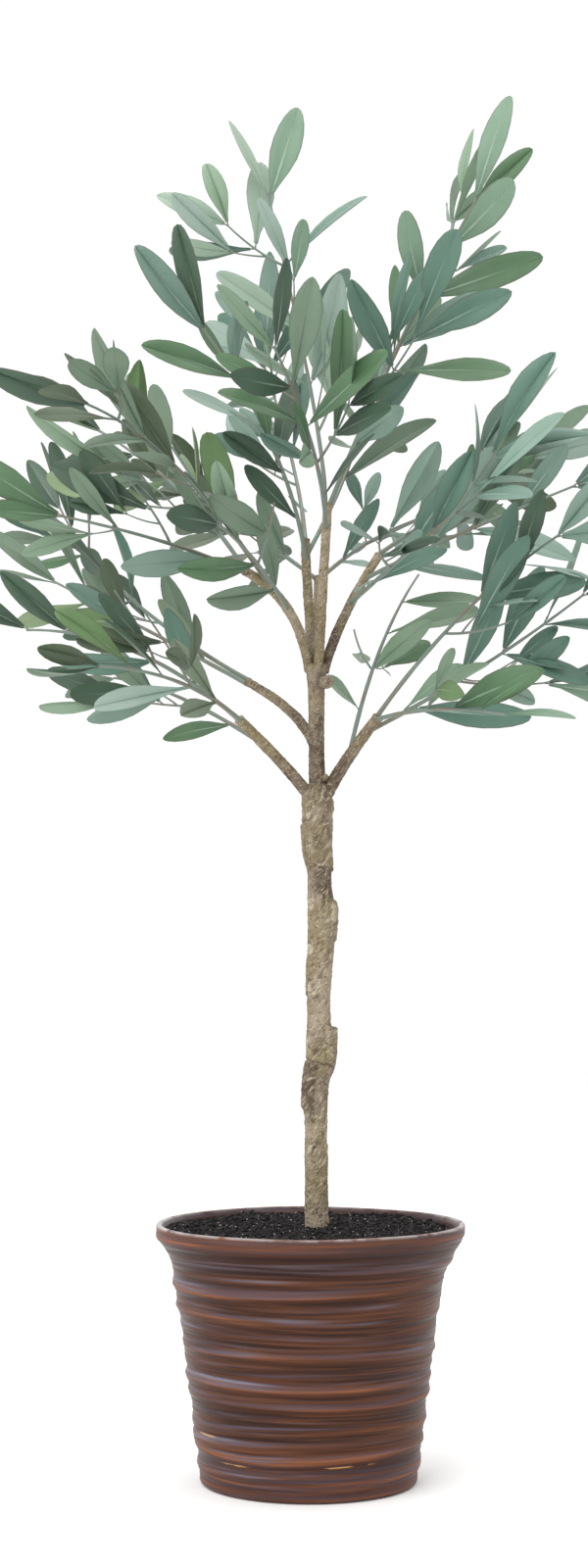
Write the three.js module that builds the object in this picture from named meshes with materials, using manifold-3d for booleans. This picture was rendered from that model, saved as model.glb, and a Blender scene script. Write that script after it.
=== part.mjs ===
// An artificial olive tree in a round ribbed pot, 1.2 m tall.
// Millimetres. +Z is up, +X is the viewer's right and -Y is towards the viewer.
// The origin is the centre of the pot's flat underside.

import * as THREE from "three";
import { mergeVertices } from "three/addons/utils/BufferGeometryUtils.js";
import Module from "manifold-3d";

const wasm = await Module();
wasm.setup();

// Driving sizes

const GAP = 0.3; // between pieces that touch
const SEED = 1; // of the whole crown's growth

const POT = {
  height: 220,
  footRadius: 93,
  footRound: 5,
  shoulderRadius: 116,
  shoulderHeight: 182,
  flareHeights: [190, 200, 213], // where the neck turns out to the lip
  lipRadius: 129.5,
  rimThickness: 5,
  rimRound: 1.5,
  wall: 8,
  floor: 10,
  taperPower: 1.15, // the wall is a little hollow between foot and shoulder
  ribs: 11,
  ribHeights: [10, 178],
  ribRelief: 1.3,
  sides: 30,
};

// The soil is level round the trunk and falls a little towards the wall.
const SOIL = {
  edgeHeight: 213,
  slopeHeight: 215,
  slopeRadius: 62,
  crownHeight: 216,
  crownRadius: 26,
};

// The trunk is wrapped in bark sheet, so it swells where one wrap laps another.
// Each ring is a height above the floor, a side step from the pot's axis and a radius.
const TRUNK = {
  sides: 12,
  steps: 16,
  rings: [
    { height: SOIL.crownHeight + GAP, side: 6.7, radius: 10.8 },
    { height: 300, side: 6.2, radius: 10.4 },
    { height: 330, side: 5.6, radius: 11.2 },
    { height: 364, side: 9.2, radius: 12.0 },
    { height: 402, side: 8.4, radius: 10.5 },
    { height: 480, side: 11.0, radius: 12.8 },
    { height: 512, side: 9.2, radius: 11.0 },
    { height: 540, side: 7.2, radius: 13.0 },
    { height: 586, side: 7.2, radius: 14.0 },
  ],
};

// Limbs above the fork: foot, bend and tip, then the radius at the foot and at the tip.
// The leader keeps its foot's radius up to the flare that carries the upper boughs.
const LEADER_FLARE = 7; // the power of the share of its length
const LIMBS = {
  leader: { path: [[7, 2, 580], [6.6, 2, 636], [6.4, 2, 694]], radii: [6.9, 10.2] },
  bough_lower_left: { path: [[3, 1, 580], [-29, -12, 616], [-59, -28, 645]], radii: [5.4, 4.3] },
  bough_lower_right: { path: [[13, 2, 580], [34, -6, 615], [58, -24, 647]], radii: [6.0, 4.5] },
  bough_mid_left: { path: [[5, 3, 626], [-16, 18, 656], [-53, 44, 684]], radii: [4.8, 3.8] },
  bough_back: { path: [[7, 4, 640], [8, 50, 710], [9, 112, 784]], radii: [4.8, 3.8] },
  bough_upper_left: { path: [[0.8, 1, 688], [-17, -14, 738], [-54, -32, 769]], radii: [4.6, 3.8] },
  bough_upper_cut: { path: [[4, 7, 688], [0, 14, 748], [-3, 22, 804]], radii: [4.4, 4.0] },
  bough_upper_centre: { path: [[8, -4, 688], [12, -9, 760], [16, -12, 829]], radii: [4.4, 4.0] },
  bough_upper_right: { path: [[12.5, 3, 688], [31, 14, 738], [61, 32, 792]], radii: [4.6, 3.9] },
};
const LIMB_SIDES = 8;
const LEADER_SIDES = 12;
const LIMB_STEPS = 8;
const KNOB = { place: [15.6, 1, 679], radius: 4.7 };

// Each spray leaves a bough at a place along it (1 is its tip) and passes its bend on the
// way to its tip.
const SPRAYS = {
  top: { bough: "upper_centre", at: 1, bend: [2, -2, 925], tip: [-35, 10, 1098] },
  high_right: { bough: "upper_centre", at: 1, bend: [72, -44, 948], tip: [137, -80, 1066] },
  front_high: { bough: "upper_centre", at: 0.84, bend: [2, -110, 858], tip: [-28, -200, 916] },
  back_high: { bough: "upper_cut", at: 1, bend: [-14, 100, 886], tip: [-40, 180, 990] },
  high_left: { bough: "upper_cut", at: 0.8, bend: [-29, -18, 872], tip: [-88, -46, 968] },
  back_right_high: { bough: "upper_cut", at: 0.86, bend: [36, 88, 880], tip: [52, 160, 954] },
  front_left: { bough: "upper_left", at: 0.72, bend: [-104, -104, 838], tip: [-172, -188, 874] },
  left_high: { bough: "upper_left", at: 1, bend: [-108, 14, 842], tip: [-182, 66, 906] },
  left_inner: { bough: "upper_left", at: 0.5, bend: [-44, -90, 768], tip: [-72, -160, 786] },
  left_out: { bough: "upper_left", at: 1, bend: [-120, -50, 790], tip: [-204, -84, 806] },
  right_out: { bough: "upper_right", at: 0.8, bend: [120, -10, 800], tip: [222, -46, 838] },
  right_high: { bough: "upper_right", at: 1, bend: [118, 42, 832], tip: [196, 58, 882] },
  front_right: { bough: "upper_right", at: 0.6, bend: [80, -96, 774], tip: [130, -192, 804] },
  right_back: { bough: "upper_right", at: 1, bend: [122, 116, 826], tip: [190, 206, 880] },
  mid_left_out: { bough: "mid_left", at: 1, bend: [-140, 76, 732], tip: [-226, 108, 780] },
  mid_left_rise: { bough: "mid_left", at: 1, bend: [-164, 126, 772], tip: [-230, 194, 862] },
  low_left_out: { bough: "lower_left", at: 1, bend: [-146, -46, 700], tip: [-234, -58, 716] },
  low_left_front: { bough: "lower_left", at: 1, bend: [-106, -106, 668], tip: [-164, -184, 672] },
  low_left_back: { bough: "lower_left", at: 0.6, bend: [-108, 34, 668], tip: [-172, 86, 692] },
  low_right_rise: { bough: "lower_right", at: 1, bend: [126, -62, 728], tip: [200, -124, 784] },
  low_right_out: { bough: "lower_right", at: 0.8, bend: [146, 4, 692], tip: [236, 14, 756] },
  low_right_front: { bough: "lower_right", at: 1, bend: [104, -104, 646], tip: [152, -184, 634] },
  right_inner: { bough: "lower_right", at: 0.5, bend: [62, 56, 712], tip: [100, 130, 790] },
  back_left: { bough: "back", at: 1, bend: [-56, 190, 842], tip: [-116, 262, 896] },
  back_right: { bough: "back", at: 1, bend: [64, 196, 834], tip: [130, 268, 872] },
};

// Two stems on one bough's tip stand apart by twice the spread.
const STEM = { radii: [1.9, 1.0], steps: 7, firstPair: 0.2, fewestPairs: 2, spread: 2.6 };
const TWIG = {
  radii: [1.2, 0.8],
  steps: 2,
  firstPair: 0.5,
  fewestPairs: 1,
  length: [64, 96],
  shrink: [1.1, 0.6], // of the length, from the stem's foot to its tip
  angle: [32, 52], // away from the stem's heading
  straight: 0.94, // of the length, before it turns back to the stem's heading
  turnBack: 0.12, // of the length
  turn: [-35, 35], // of its leaves' face against the stem's
  every: 3, // pairs
  marks: [0.4, 0.7, 1], // the places along it that are tested for room
};
const LEAF = {
  length: 88,
  share: [0.72, 1.18], // of the length, shortest and longest leaf
  slimness: 0.27, // width over length
  thickness: 2.2,
  angle: [28, 60], // away from the twig's heading
  tipAngles: [[6, 20], [12, 38]],
  roll: [-36, 36],
  droop: 0.06, // of the length
  // Shares of the length. The root is sunk behind the twig's centre, and the end is blunt.
  rim: { root: -0.035, middle: 0.42, widest: 0.54, end: 0.98, endWidth: 0.36 },
  marks: [[0.14, 0.3], [0.3, 0.6], [0.54, 1], [0.78, 0.75], [1, 0.36]], // tested for room
  lowest: -0.25, // how far down a leaf or twig may head
};
const PAIR = {
  step: 42, // along a stem or twig
  turn: [-40, 40], // round the stem or twig
  last: 0.985, // where the two end leaves are rooted, sunk in the tip
};
// Which way a spray's leaves face: towards the nearer side of the crown, and mostly up.
const FACE = { side: [-0.7, 0.7], lift: [-0.2, 1], backFrom: 50 };
const TRIES = 5; // for each leaf or twig, before it is skipped
const SPACE_MARGIN = 4; // a leaf is this much nearer its own stem than any other
const LIMB_MARGIN = 3;

const FINISHES = {
  pot: new THREE.MeshStandardMaterial({ color: 0x8a5436, roughness: 0.5, metalness: 0 }),
  soil: new THREE.MeshStandardMaterial({ color: 0x1d1a18, roughness: 0.95, metalness: 0 }),
  bark: new THREE.MeshStandardMaterial({ color: 0xa58d6c, roughness: 0.85, metalness: 0 }),
  foliage: new THREE.MeshStandardMaterial({ color: 0x5f7358, roughness: 0.6, metalness: 0 }),
};

// Shapes and solids

const vector = (list) => new THREE.Vector3(...list);
const mix = (low, high, share) => low + (high - low) * share;
const ease = (share) => share * share * (3 - 2 * share);

// A primitive with its shared corners merged, so that it is one closed surface.
function closed(primitive) {
  primitive.deleteAttribute("normal");
  primitive.deleteAttribute("uv");
  return mergeVertices(primitive, 1e-4);
}

function solidOf(geometry) {
  const mesh = new wasm.Mesh({
    numProp: 3,
    vertProperties: geometry.getAttribute("position").array,
    triVerts: new Uint32Array(geometry.index.array),
  });
  return new wasm.Manifold(mesh);
}

function geometryOf(solid) {
  const mesh = solid.getMesh();
  const geometry = new THREE.BufferGeometry();
  geometry.setAttribute("position", new THREE.BufferAttribute(mesh.vertProperties, 3));
  geometry.setIndex(new THREE.BufferAttribute(mesh.triVerts, 1));
  return geometry;
}

// The largest outer shell: a loose scrap is dropped and a sealed hollow is filled.
function mainBody(solid) {
  const bodies = solid.decompose();
  return bodies.reduce((best, body) => (body.volume() > best.volume() ? body : best));
}

// A quadratic curve that passes the bend half way.
function bentCurve(foot, bend, tip) {
  const control = bend.clone().multiplyScalar(2);
  control.addScaledVector(foot, -0.5).addScaledVector(tip, -0.5);
  return new THREE.QuadraticBezierCurve3(foot, control, tip);
}

function headingAt(curve, t) {
  const heading = curve.v1.clone().sub(curve.v0).multiplyScalar(1 - t);
  heading.addScaledVector(curve.v2.clone().sub(curve.v1), t);
  return heading.normalize();
}

// A round limb along a curve, from a cylinder that is bent and tapered. Its ends can run
// over by a clearance.
function limbGeometry(curve, radiusAt, sides, steps, overrun = 0) {
  const geometry = closed(new THREE.CylinderGeometry(1, 1, 1, sides, steps));
  const frames = curve.computeFrenetFrames(steps, false);
  const position = geometry.getAttribute("position");
  for (let i = 0; i < position.count; i++) {
    const step = Math.round((position.getY(i) + 0.5) * steps);
    const centre = curve.getPointAt(step / steps);
    const radius = radiusAt(step / steps, centre);
    const end = step === 0 ? -overrun : step === steps ? overrun : 0;
    centre.addScaledVector(frames.normals[step], position.getX(i) * radius);
    centre.addScaledVector(frames.binormals[step], -position.getZ(i) * radius);
    centre.addScaledVector(frames.tangents[step], end);
    position.setXYZ(i, centre.x, centre.y, centre.z);
  }
  return geometry;
}

// Pot and soil

function bodyRadius(height) {
  const rise = Math.min(1, height / POT.shoulderHeight);
  const flare = (height - POT.shoulderHeight) / (POT.flareHeights.at(-1) - POT.shoulderHeight);
  const taper = mix(POT.footRadius, POT.shoulderRadius, rise ** POT.taperPower);
  return taper + (POT.lipRadius - POT.shoulderRadius) * ease(THREE.MathUtils.clamp(flare, 0, 1));
}

function innerRadius(height) {
  return bodyRadius(height) - POT.wall;
}

// Ribs stand out of the wall between the foot and the shoulder, two rings to a rib.
function potGeometry() {
  const { footRadius, footRound, lipRadius, rimThickness, rimRound, height: top } = POT;
  const outline = [[0, 0], [footRadius - footRound, 0], [footRadius - footRound / 3, footRound / 3]];
  for (let i = 0; i <= POT.ribs * 2; i++) {
    const height = mix(...POT.ribHeights, i / (POT.ribs * 2));
    outline.push([bodyRadius(height) + (i % 2 ? POT.ribRelief : -POT.ribRelief), height]);
  }
  outline.push(...POT.flareHeights.map((height) => [bodyRadius(height), height]));
  outline.push([lipRadius - rimRound, top - rimRound], [lipRadius - rimThickness / 2, top]);
  outline.push([lipRadius - rimThickness, top - rimRound]);
  outline.push(...wallHeights().map((height) => [innerRadius(height), height]));
  outline.push([0, POT.floor]);
  return turned(outline);
}

// The heights that shape the inside of the wall, from the soil's edge down to the floor.
function wallHeights() {
  return [SOIL.edgeHeight, POT.shoulderHeight, POT.shoulderHeight / 2, POT.floor];
}

function soilGeometry() {
  const wallGap = GAP / Math.cos(Math.PI / POT.sides);
  const rise = (height) => Math.max(height, POT.floor + GAP);
  const side = wallHeights().reverse();
  const outline = [[0, POT.floor + GAP]];
  outline.push(...side.map((height) => [innerRadius(height) - wallGap, rise(height)]));
  outline.push([SOIL.slopeRadius, SOIL.slopeHeight], [SOIL.crownRadius, SOIL.crownHeight]);
  outline.push([0, SOIL.crownHeight]);
  return turned(outline);
}

// An outline of radius and height, turned about the pot's axis and stood upright.
function turned(outline) {
  const points = outline.map(([radius, height]) => new THREE.Vector2(radius, height));
  const geometry = closed(new THREE.LatheGeometry(points, POT.sides));
  return geometry.rotateX(Math.PI / 2);
}

// Trunk, leader and boughs

function trunkRadius(height) {
  const rings = TRUNK.rings;
  const found = rings.findIndex((ring) => ring.height >= height);
  const above = found < 0 ? rings.length - 1 : Math.max(1, found);
  const [low, high] = [rings[above - 1], rings[above]];
  const share = THREE.MathUtils.inverseLerp(low.height, high.height, height);
  return mix(low.radius, high.radius, ease(THREE.MathUtils.clamp(share, 0, 1)));
}

function makeLimbs() {
  const points = TRUNK.rings.map((ring) => new THREE.Vector3(ring.side, 1, ring.height));
  const limbs = {
    trunk: {
      curve: new THREE.CatmullRomCurve3(points),
      radiusAt: (share, centre) => trunkRadius(centre.z),
      thickest: Math.max(...TRUNK.rings.map((ring) => ring.radius)),
      sides: TRUNK.sides,
      steps: TRUNK.steps,
    },
  };
  for (const [name, limb] of Object.entries(LIMBS)) {
    const isLeader = name === "leader";
    const power = isLeader ? LEADER_FLARE : 1;
    limbs[name] = {
      curve: bentCurve(...limb.path.map(vector)),
      radiusAt: (share) => mix(...limb.radii, share ** power),
      thickest: Math.max(...limb.radii),
      sides: isLeader ? LEADER_SIDES : LIMB_SIDES,
      steps: LIMB_STEPS,
    };
  }
  return limbs;
}

function limbSolid(limb) {
  return solidOf(limbGeometry(limb.curve, limb.radiusAt, limb.sides, limb.steps));
}

// The limb with the clearance that its neighbours keep from it.
function limbEnvelope(limb) {
  const wide = (share, centre) => limb.radiusAt(share, centre) + GAP;
  return solidOf(limbGeometry(limb.curve, wide, limb.sides, limb.steps, GAP));
}

// The healed stump of a cut bough, on the leader's right.
function knobSolid(clearance) {
  const geometry = closed(new THREE.SphereGeometry(KNOB.radius + clearance, 8, 6));
  return solidOf(geometry.translate(...KNOB.place));
}

// The trunk is whole. Each limb after it is cut clear of the limbs before it.
function cutLimbs(limbs) {
  const solids = {};
  const envelopes = [];
  for (const [name, limb] of Object.entries(limbs)) {
    let solid = limbSolid(limb);
    let envelope = limbEnvelope(limb);
    if (name === "leader") {
      solid = solid.add(knobSolid(0));
      envelope = envelope.add(knobSolid(GAP));
    }
    for (const earlier of envelopes) solid = solid.subtract(earlier);
    solids[name] = mainBody(solid);
    envelopes.push(envelope);
  }
  return solids;
}

// Growth rule

// Seeded random numbers, the same on every run.
class Dice {
  constructor(seed) {
    this.state = (Math.imul(seed, 2654435761) + 97) >>> 0;
    for (let i = 0; i < 3; i++) this.roll();
  }

  roll() {
    this.state = (Math.imul(this.state, 1664525) + 1013904223) >>> 0;
    return this.state / 2 ** 32;
  }

  between(low, high) {
    return mix(low, high, this.roll());
  }

  angle(low, high) {
    return THREE.MathUtils.degToRad(this.between(low, high));
  }
}

function distanceTo(point, from, to) {
  const run = to.clone().sub(from);
  const share = point.clone().sub(from).dot(run) / run.lengthSq();
  return point.distanceTo(from.clone().addScaledVector(run, THREE.MathUtils.clamp(share, 0, 1)));
}

function distanceToLine(point, line) {
  let nearest = Infinity;
  for (let i = 1; i < line.length; i++) {
    nearest = Math.min(nearest, distanceTo(point, line[i - 1], line[i]));
  }
  return nearest;
}

// Two stems that share a bough's tip stand side by side on it, each towards its own reach.
function stemFoot(limb, spray, partner) {
  const foot = limb.curve.getPoint(spray.at);
  if (!partner) return foot;
  const axis = headingAt(limb.curve, spray.at);
  const away = vector(spray.bend).sub(vector(partner.bend));
  away.addScaledVector(axis, -away.dot(axis)).normalize();
  return foot.addScaledVector(away, STEM.spread);
}

class Crown {
  constructor(limbs) {
    this.limbLines = Object.values(limbs).map((limb) => ({
      line: limb.curve.getPoints(LIMB_STEPS),
      radius: limb.thickest,
    }));
    this.stems = {};
    for (const [name, spray] of Object.entries(SPRAYS)) {
      const limb = limbs["bough_" + spray.bough];
      const partner = Object.values(SPRAYS).find(
        (other) => other !== spray && other.bough === spray.bough && other.at === spray.at,
      );
      const foot = stemFoot(limb, spray, partner);
      this.stems[name] = bentCurve(foot, vector(spray.bend), vector(spray.tip));
    }
    this.lines = Object.fromEntries(
      Object.entries(this.stems).map(([name, curve]) => [name, curve.getPoints(STEM.steps)]),
    );
  }

  // True where every point is in the spray's own space and clear of the limbs.
  hasRoom(name, points) {
    return points.every((point) => {
      const own = distanceToLine(point, this.lines[name]);
      for (const [other, line] of Object.entries(this.lines)) {
        if (other !== name && distanceToLine(point, line) < own + SPACE_MARGIN) return false;
      }
      return this.limbLines.every(
        ({ line, radius }) => distanceToLine(point, line) > radius + LIMB_MARGIN,
      );
    });
  }
}

class Spray {
  constructor(crown, name, seed) {
    this.crown = crown;
    this.name = name;
    this.dice = new Dice(seed);
    this.stem = crown.stems[name];
    this.twigs = [];
    this.leaves = [];
    this.grow();
  }

  grow() {
    const outward = this.stem.v2.y > FACE.backFrom ? 1 : -1;
    const face = new THREE.Vector3(this.dice.between(...FACE.side), outward, 0);
    face.setZ(this.dice.between(...FACE.lift)).normalize();
    this.dress(this.stem, face, STEM, true);
  }

  // Pairs of leaves along a stem or twig, and two at its tip. On a stem one pair
  // in three has a twig in place of a leaf, on either side by turns.
  dress(curve, face, { firstPair, fewestPairs }, bearsTwigs) {
    const fitting = Math.round((curve.getLength() * (1 - firstPair)) / PAIR.step);
    const pairs = Math.max(fewestPairs, fitting);
    for (let i = 0; i < pairs; i++) {
      const t = mix(firstPair, 1, i / pairs);
      const root = curve.getPoint(t);
      const heading = headingAt(curve, t);
      const side = face.clone().cross(heading).normalize();
      side.applyAxisAngle(heading, this.dice.angle(...PAIR.turn));
      for (const hand of [1, -1]) {
        const reach = side.clone().multiplyScalar(hand);
        const twigHand = Math.floor(i / TWIG.every) % 2 ? 1 : -1;
        const forks = bearsTwigs && i % TWIG.every === 1 && hand === twigHand;
        if (forks) this.branch(root, heading, reach, face, t);
        else this.addLeaf(root, heading, reach, face, LEAF.angle);
      }
    }
    const heading = headingAt(curve, 1);
    const side = face.clone().cross(heading).normalize();
    for (const angles of LEAF.tipAngles) {
      this.addLeaf(curve.getPoint(PAIR.last), heading, side.clone(), face, angles);
      side.negate();
    }
  }

  branch(root, heading, reach, face, t) {
    for (let i = 0; i < TRIES; i++) {
      const angle = this.dice.angle(...TWIG.angle);
      const length = this.dice.between(...TWIG.length) * mix(...TWIG.shrink, t);
      const way = heading.clone().multiplyScalar(Math.cos(angle));
      way.addScaledVector(reach, Math.sin(angle));
      const bend = root.clone().addScaledVector(way, length / 2);
      const tip = root.clone().addScaledVector(way, length * TWIG.straight);
      tip.addScaledVector(heading, length * TWIG.turnBack);
      const twig = bentCurve(root, bend, tip);
      const marks = TWIG.marks.map((share) => twig.getPoint(share));
      if (way.z > LEAF.lowest && this.crown.hasRoom(this.name, marks)) {
        this.twigs.push(twig);
        const turnedFace = face.clone().applyAxisAngle(way, this.dice.angle(...TWIG.turn));
        this.dress(twig, turnedFace, TWIG, false);
        return;
      }
    }
  }

  addLeaf(root, heading, reach, face, angles) {
    for (let i = 0; i < TRIES; i++) {
      const angle = this.dice.angle(...angles);
      const length = LEAF.length * this.dice.between(...LEAF.share);
      const roll = this.dice.angle(...LEAF.roll);
      const along = heading.clone().multiplyScalar(Math.cos(angle));
      along.addScaledVector(reach, Math.sin(angle)).normalize();
      const up = face.clone().addScaledVector(along, -face.dot(along)).normalize();
      up.applyAxisAngle(along, roll);
      const leaf = { root, along, up, across: along.clone().cross(up), length };
      const sags = along.z < LEAF.lowest;
      if (!sags && this.crown.hasRoom(this.name, leafMarks(leaf))) {
        this.leaves.push(leaf);
        return;
      }
    }
  }
}

function leafPoint(leaf, share, side) {
  const halfWidth = (leaf.length * LEAF.slimness) / 2;
  const point = leaf.root.clone().addScaledVector(leaf.along, leaf.length * share);
  point.addScaledVector(leaf.across, halfWidth * side);
  return point.addScaledVector(leaf.up, -leaf.length * LEAF.droop * share * share);
}

// The places on both sides of a leaf that are tested for room.
function leafMarks(leaf) {
  const placesOn = (hand) => LEAF.marks.map(([share, side]) => leafPoint(leaf, share, side * hand));
  return [...placesOn(1), ...placesOn(-1)];
}

// A leaf is a squashed five-sided double cone: one corner is its root, two are its widest
// places and two are its blunt end.
function leafSolid(leaf) {
  const { root, middle, widest, end, endWidth } = LEAF.rim;
  const geometry = closed(new THREE.SphereGeometry(1, 5, 2));
  const position = geometry.getAttribute("position");
  for (let i = 0; i < position.count; i++) {
    const [x, y, z] = [position.getX(i), position.getY(i), position.getZ(i)];
    const isPole = Math.abs(y) > 0.5;
    const share = isPole ? middle : x < -0.5 ? root : x < 0.5 ? widest : end;
    const width = Math.abs(z) < 0.1 ? 0 : x < 0.5 ? 1 : endWidth;
    const point = leafPoint(leaf, share, Math.sign(z) * width);
    point.addScaledVector(leaf.up, isPole ? (y * LEAF.thickness) / 2 : 0);
    position.setXYZ(i, point.x, point.y, point.z);
  }
  return solidOf(geometry);
}

function sproutSolid(curve, { radii, steps }) {
  return solidOf(limbGeometry(curve, (share) => mix(...radii, share), 3, steps));
}

// Stem, twigs and leaves as one body, cut clear of the bough that carries it.
function spraySolid(spray, bough) {
  const pieces = [sproutSolid(spray.stem, STEM)];
  pieces.push(...spray.twigs.map((twig) => sproutSolid(twig, TWIG)));
  pieces.push(...spray.leaves.map(leafSolid));
  const joined = wasm.Manifold.union(pieces);
  return mainBody(joined.subtract(limbEnvelope(bough)));
}

// Assembly

const tree = new THREE.Group();

function addPart(name, geometry, material) {
  const mesh = new THREE.Mesh(geometry, material);
  mesh.name = name;
  tree.add(mesh);
}

addPart("pot", potGeometry(), FINISHES.pot);
addPart("soil", soilGeometry(), FINISHES.soil);

const limbs = makeLimbs();
for (const [name, solid] of Object.entries(cutLimbs(limbs))) {
  addPart(name, geometryOf(solid), FINISHES.bark);
}

const crown = new Crown(limbs);
Object.entries(SPRAYS).forEach(([name, { bough }], index) => {
  const spray = new Spray(crown, name, SEED + index);
  const solid = spraySolid(spray, limbs["bough_" + bough]);
  addPart("foliage_" + name, geometryOf(solid), FINISHES.foliage);
});

export default tree;
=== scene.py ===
"""Looks of an artificial olive tree in a ribbed pot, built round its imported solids.

Metres, +Z up. The viewer stands on the -Y side and +X is to the viewer's right. The drawing of
the tree itself is in millimetres, as in the part's source, and MM turns it into metres.
"""

from __future__ import annotations

import logging
import math
from collections.abc import Callable
from dataclasses import dataclass, field
from enum import Enum

import bmesh
import bpy
import numpy as np
from mathutils import Matrix, Vector, noise

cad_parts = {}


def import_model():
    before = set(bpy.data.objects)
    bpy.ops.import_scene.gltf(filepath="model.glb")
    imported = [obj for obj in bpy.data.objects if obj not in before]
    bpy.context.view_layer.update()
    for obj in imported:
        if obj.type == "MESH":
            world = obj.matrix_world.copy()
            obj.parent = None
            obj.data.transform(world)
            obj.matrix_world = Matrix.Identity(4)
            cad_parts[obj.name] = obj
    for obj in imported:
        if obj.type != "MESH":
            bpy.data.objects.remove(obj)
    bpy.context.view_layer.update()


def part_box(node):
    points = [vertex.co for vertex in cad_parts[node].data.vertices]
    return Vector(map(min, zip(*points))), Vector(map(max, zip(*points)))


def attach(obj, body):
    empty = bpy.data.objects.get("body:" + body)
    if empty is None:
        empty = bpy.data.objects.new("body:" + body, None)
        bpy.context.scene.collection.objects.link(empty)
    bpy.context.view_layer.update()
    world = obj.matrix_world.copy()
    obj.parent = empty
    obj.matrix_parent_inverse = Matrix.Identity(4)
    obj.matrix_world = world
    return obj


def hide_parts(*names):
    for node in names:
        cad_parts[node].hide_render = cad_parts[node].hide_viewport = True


LOG = logging.getLogger("olive_tree")
MM = 0.001
FULL_TURN = 2 * math.pi
SEED = 1
FINE_SEED = 200
LOOK_SEED = 700

Array = np.ndarray
Number = float | np.ndarray
Pair = tuple[float, float]
Triple = tuple[float, float, float]
Mesh = bpy.types.Mesh
Material = bpy.types.Material
Node = bpy.types.Node
Socket = bpy.types.NodeSocket
Feed = Socket | float | str | tuple


# Numbers and vectors


def mix(low: Number, high: Number, share: Number) -> Number:
    """Returns the value a share of the way from low to high."""
    return low + (high - low) * share


def ease(share: Number) -> Number:
    """Returns a share smoothed at both ends."""
    share = np.clip(share, 0.0, 1.0)
    return share * share * (3 - 2 * share)


def ramp(value: Number, start: float, end: float) -> Number:
    """Returns 0 up to the start, 1 past the end, and an eased share between them."""
    return ease((value - start) / (end - start))


def bell(away: Number, width: Number) -> Number:
    """Returns 1 in the middle and less on either side, by how wide the bell is."""
    return np.exp(-((away / width) ** 2))


def signed(angle: Number, middle: float, whole: float = FULL_TURN) -> Number:
    """Returns how far an angle is past a middle, from minus half a turn to half a turn."""
    return (angle - middle + whole / 2) % whole - whole / 2


def unit(vector: Array) -> Array:
    """Returns the vector with a length of one."""
    return vector / math.sqrt(float(vector @ vector))


def cross(a: Array, b: Array) -> Array:
    """Returns the cross product of two single vectors."""
    return np.array([a[1] * b[2] - a[2] * b[1], a[2] * b[0] - a[0] * b[2], a[0] * b[1] - a[1] * b[0]])


def turned(vector: Array, axis: Array, angle: float) -> Array:
    """Returns a vector turned about a unit axis, anticlockwise seen against it."""
    sine, cosine = math.sin(angle), math.cos(angle)
    return vector * cosine + cross(axis, vector) * sine + axis * ((1 - cosine) * float(axis @ vector))


def on_ring(angle: Array, height: Array, radius: Number = 1.0) -> Array:
    """Returns the places at those angles and heights on an upright cylinder."""
    return np.stack([np.cos(angle) * radius, np.sin(angle) * radius, height], 1)


def polar(points: Array) -> tuple[Array, Array, Array]:
    """Returns the radius, angle and height of each place."""
    return np.hypot(points[:, 0], points[:, 1]), np.arctan2(points[:, 1], points[:, 0]), points[:, 2]


def unevenness(points: Array, size: float | Triple, shift: float = 0.0) -> Array:
    """Returns smooth noise from about -1 to 1 at each point, with lumps of that size."""
    scaled = (points / np.asarray(size, float) + shift).tolist()
    return np.array([noise.noise(point) for point in scaled])


@dataclass(frozen=True)
class Layer:
    """A layer of smooth noise: its height, the size of its lumps, its shift, and if it is folded."""

    height: float
    size: float | Triple
    shift: float = 0.0
    folded: bool = False

    def at(self, points: Array, shift: float = 0.0) -> Array:
        """Returns what the layer adds at each point, shifted further where asked."""
        value = unevenness(points, self.size, shift + self.shift)
        return self.height * (np.abs(value) if self.folded else value)


def layered(points: Array, layers: tuple[Layer, ...], shift: float = 0.0) -> Array:
    """Returns the sum of the layers at each point, shifted further where asked."""
    return sum(layer.at(points, shift) for layer in layers)


class Dice:
    """Seeded random numbers, the same on every run and the same as in the part's source."""

    SPAN = 2**32
    SPREADER = 2654435761
    OFFSET = 97
    FACTOR = 1664525
    STEP = 1013904223
    FIRST_ROLLS = 3

    def __init__(self, seed: int) -> None:
        """Starts a sequence.

        Args:
            seed: Which one.
        """
        self.state = (seed * self.SPREADER + self.OFFSET) % self.SPAN
        for _ in range(self.FIRST_ROLLS):
            self.roll()

    def roll(self) -> float:
        """Returns the next number from 0 up to 1."""
        self.state = (self.state * self.FACTOR + self.STEP) % self.SPAN
        return self.state / self.SPAN

    def between(self, low: float, high: float) -> float:
        """Returns a number from low to high."""
        return mix(low, high, self.roll())

    def angle(self, low: float, high: float) -> float:
        """Returns an angle in radians, from limits in degrees."""
        return math.radians(self.between(low, high))


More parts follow.
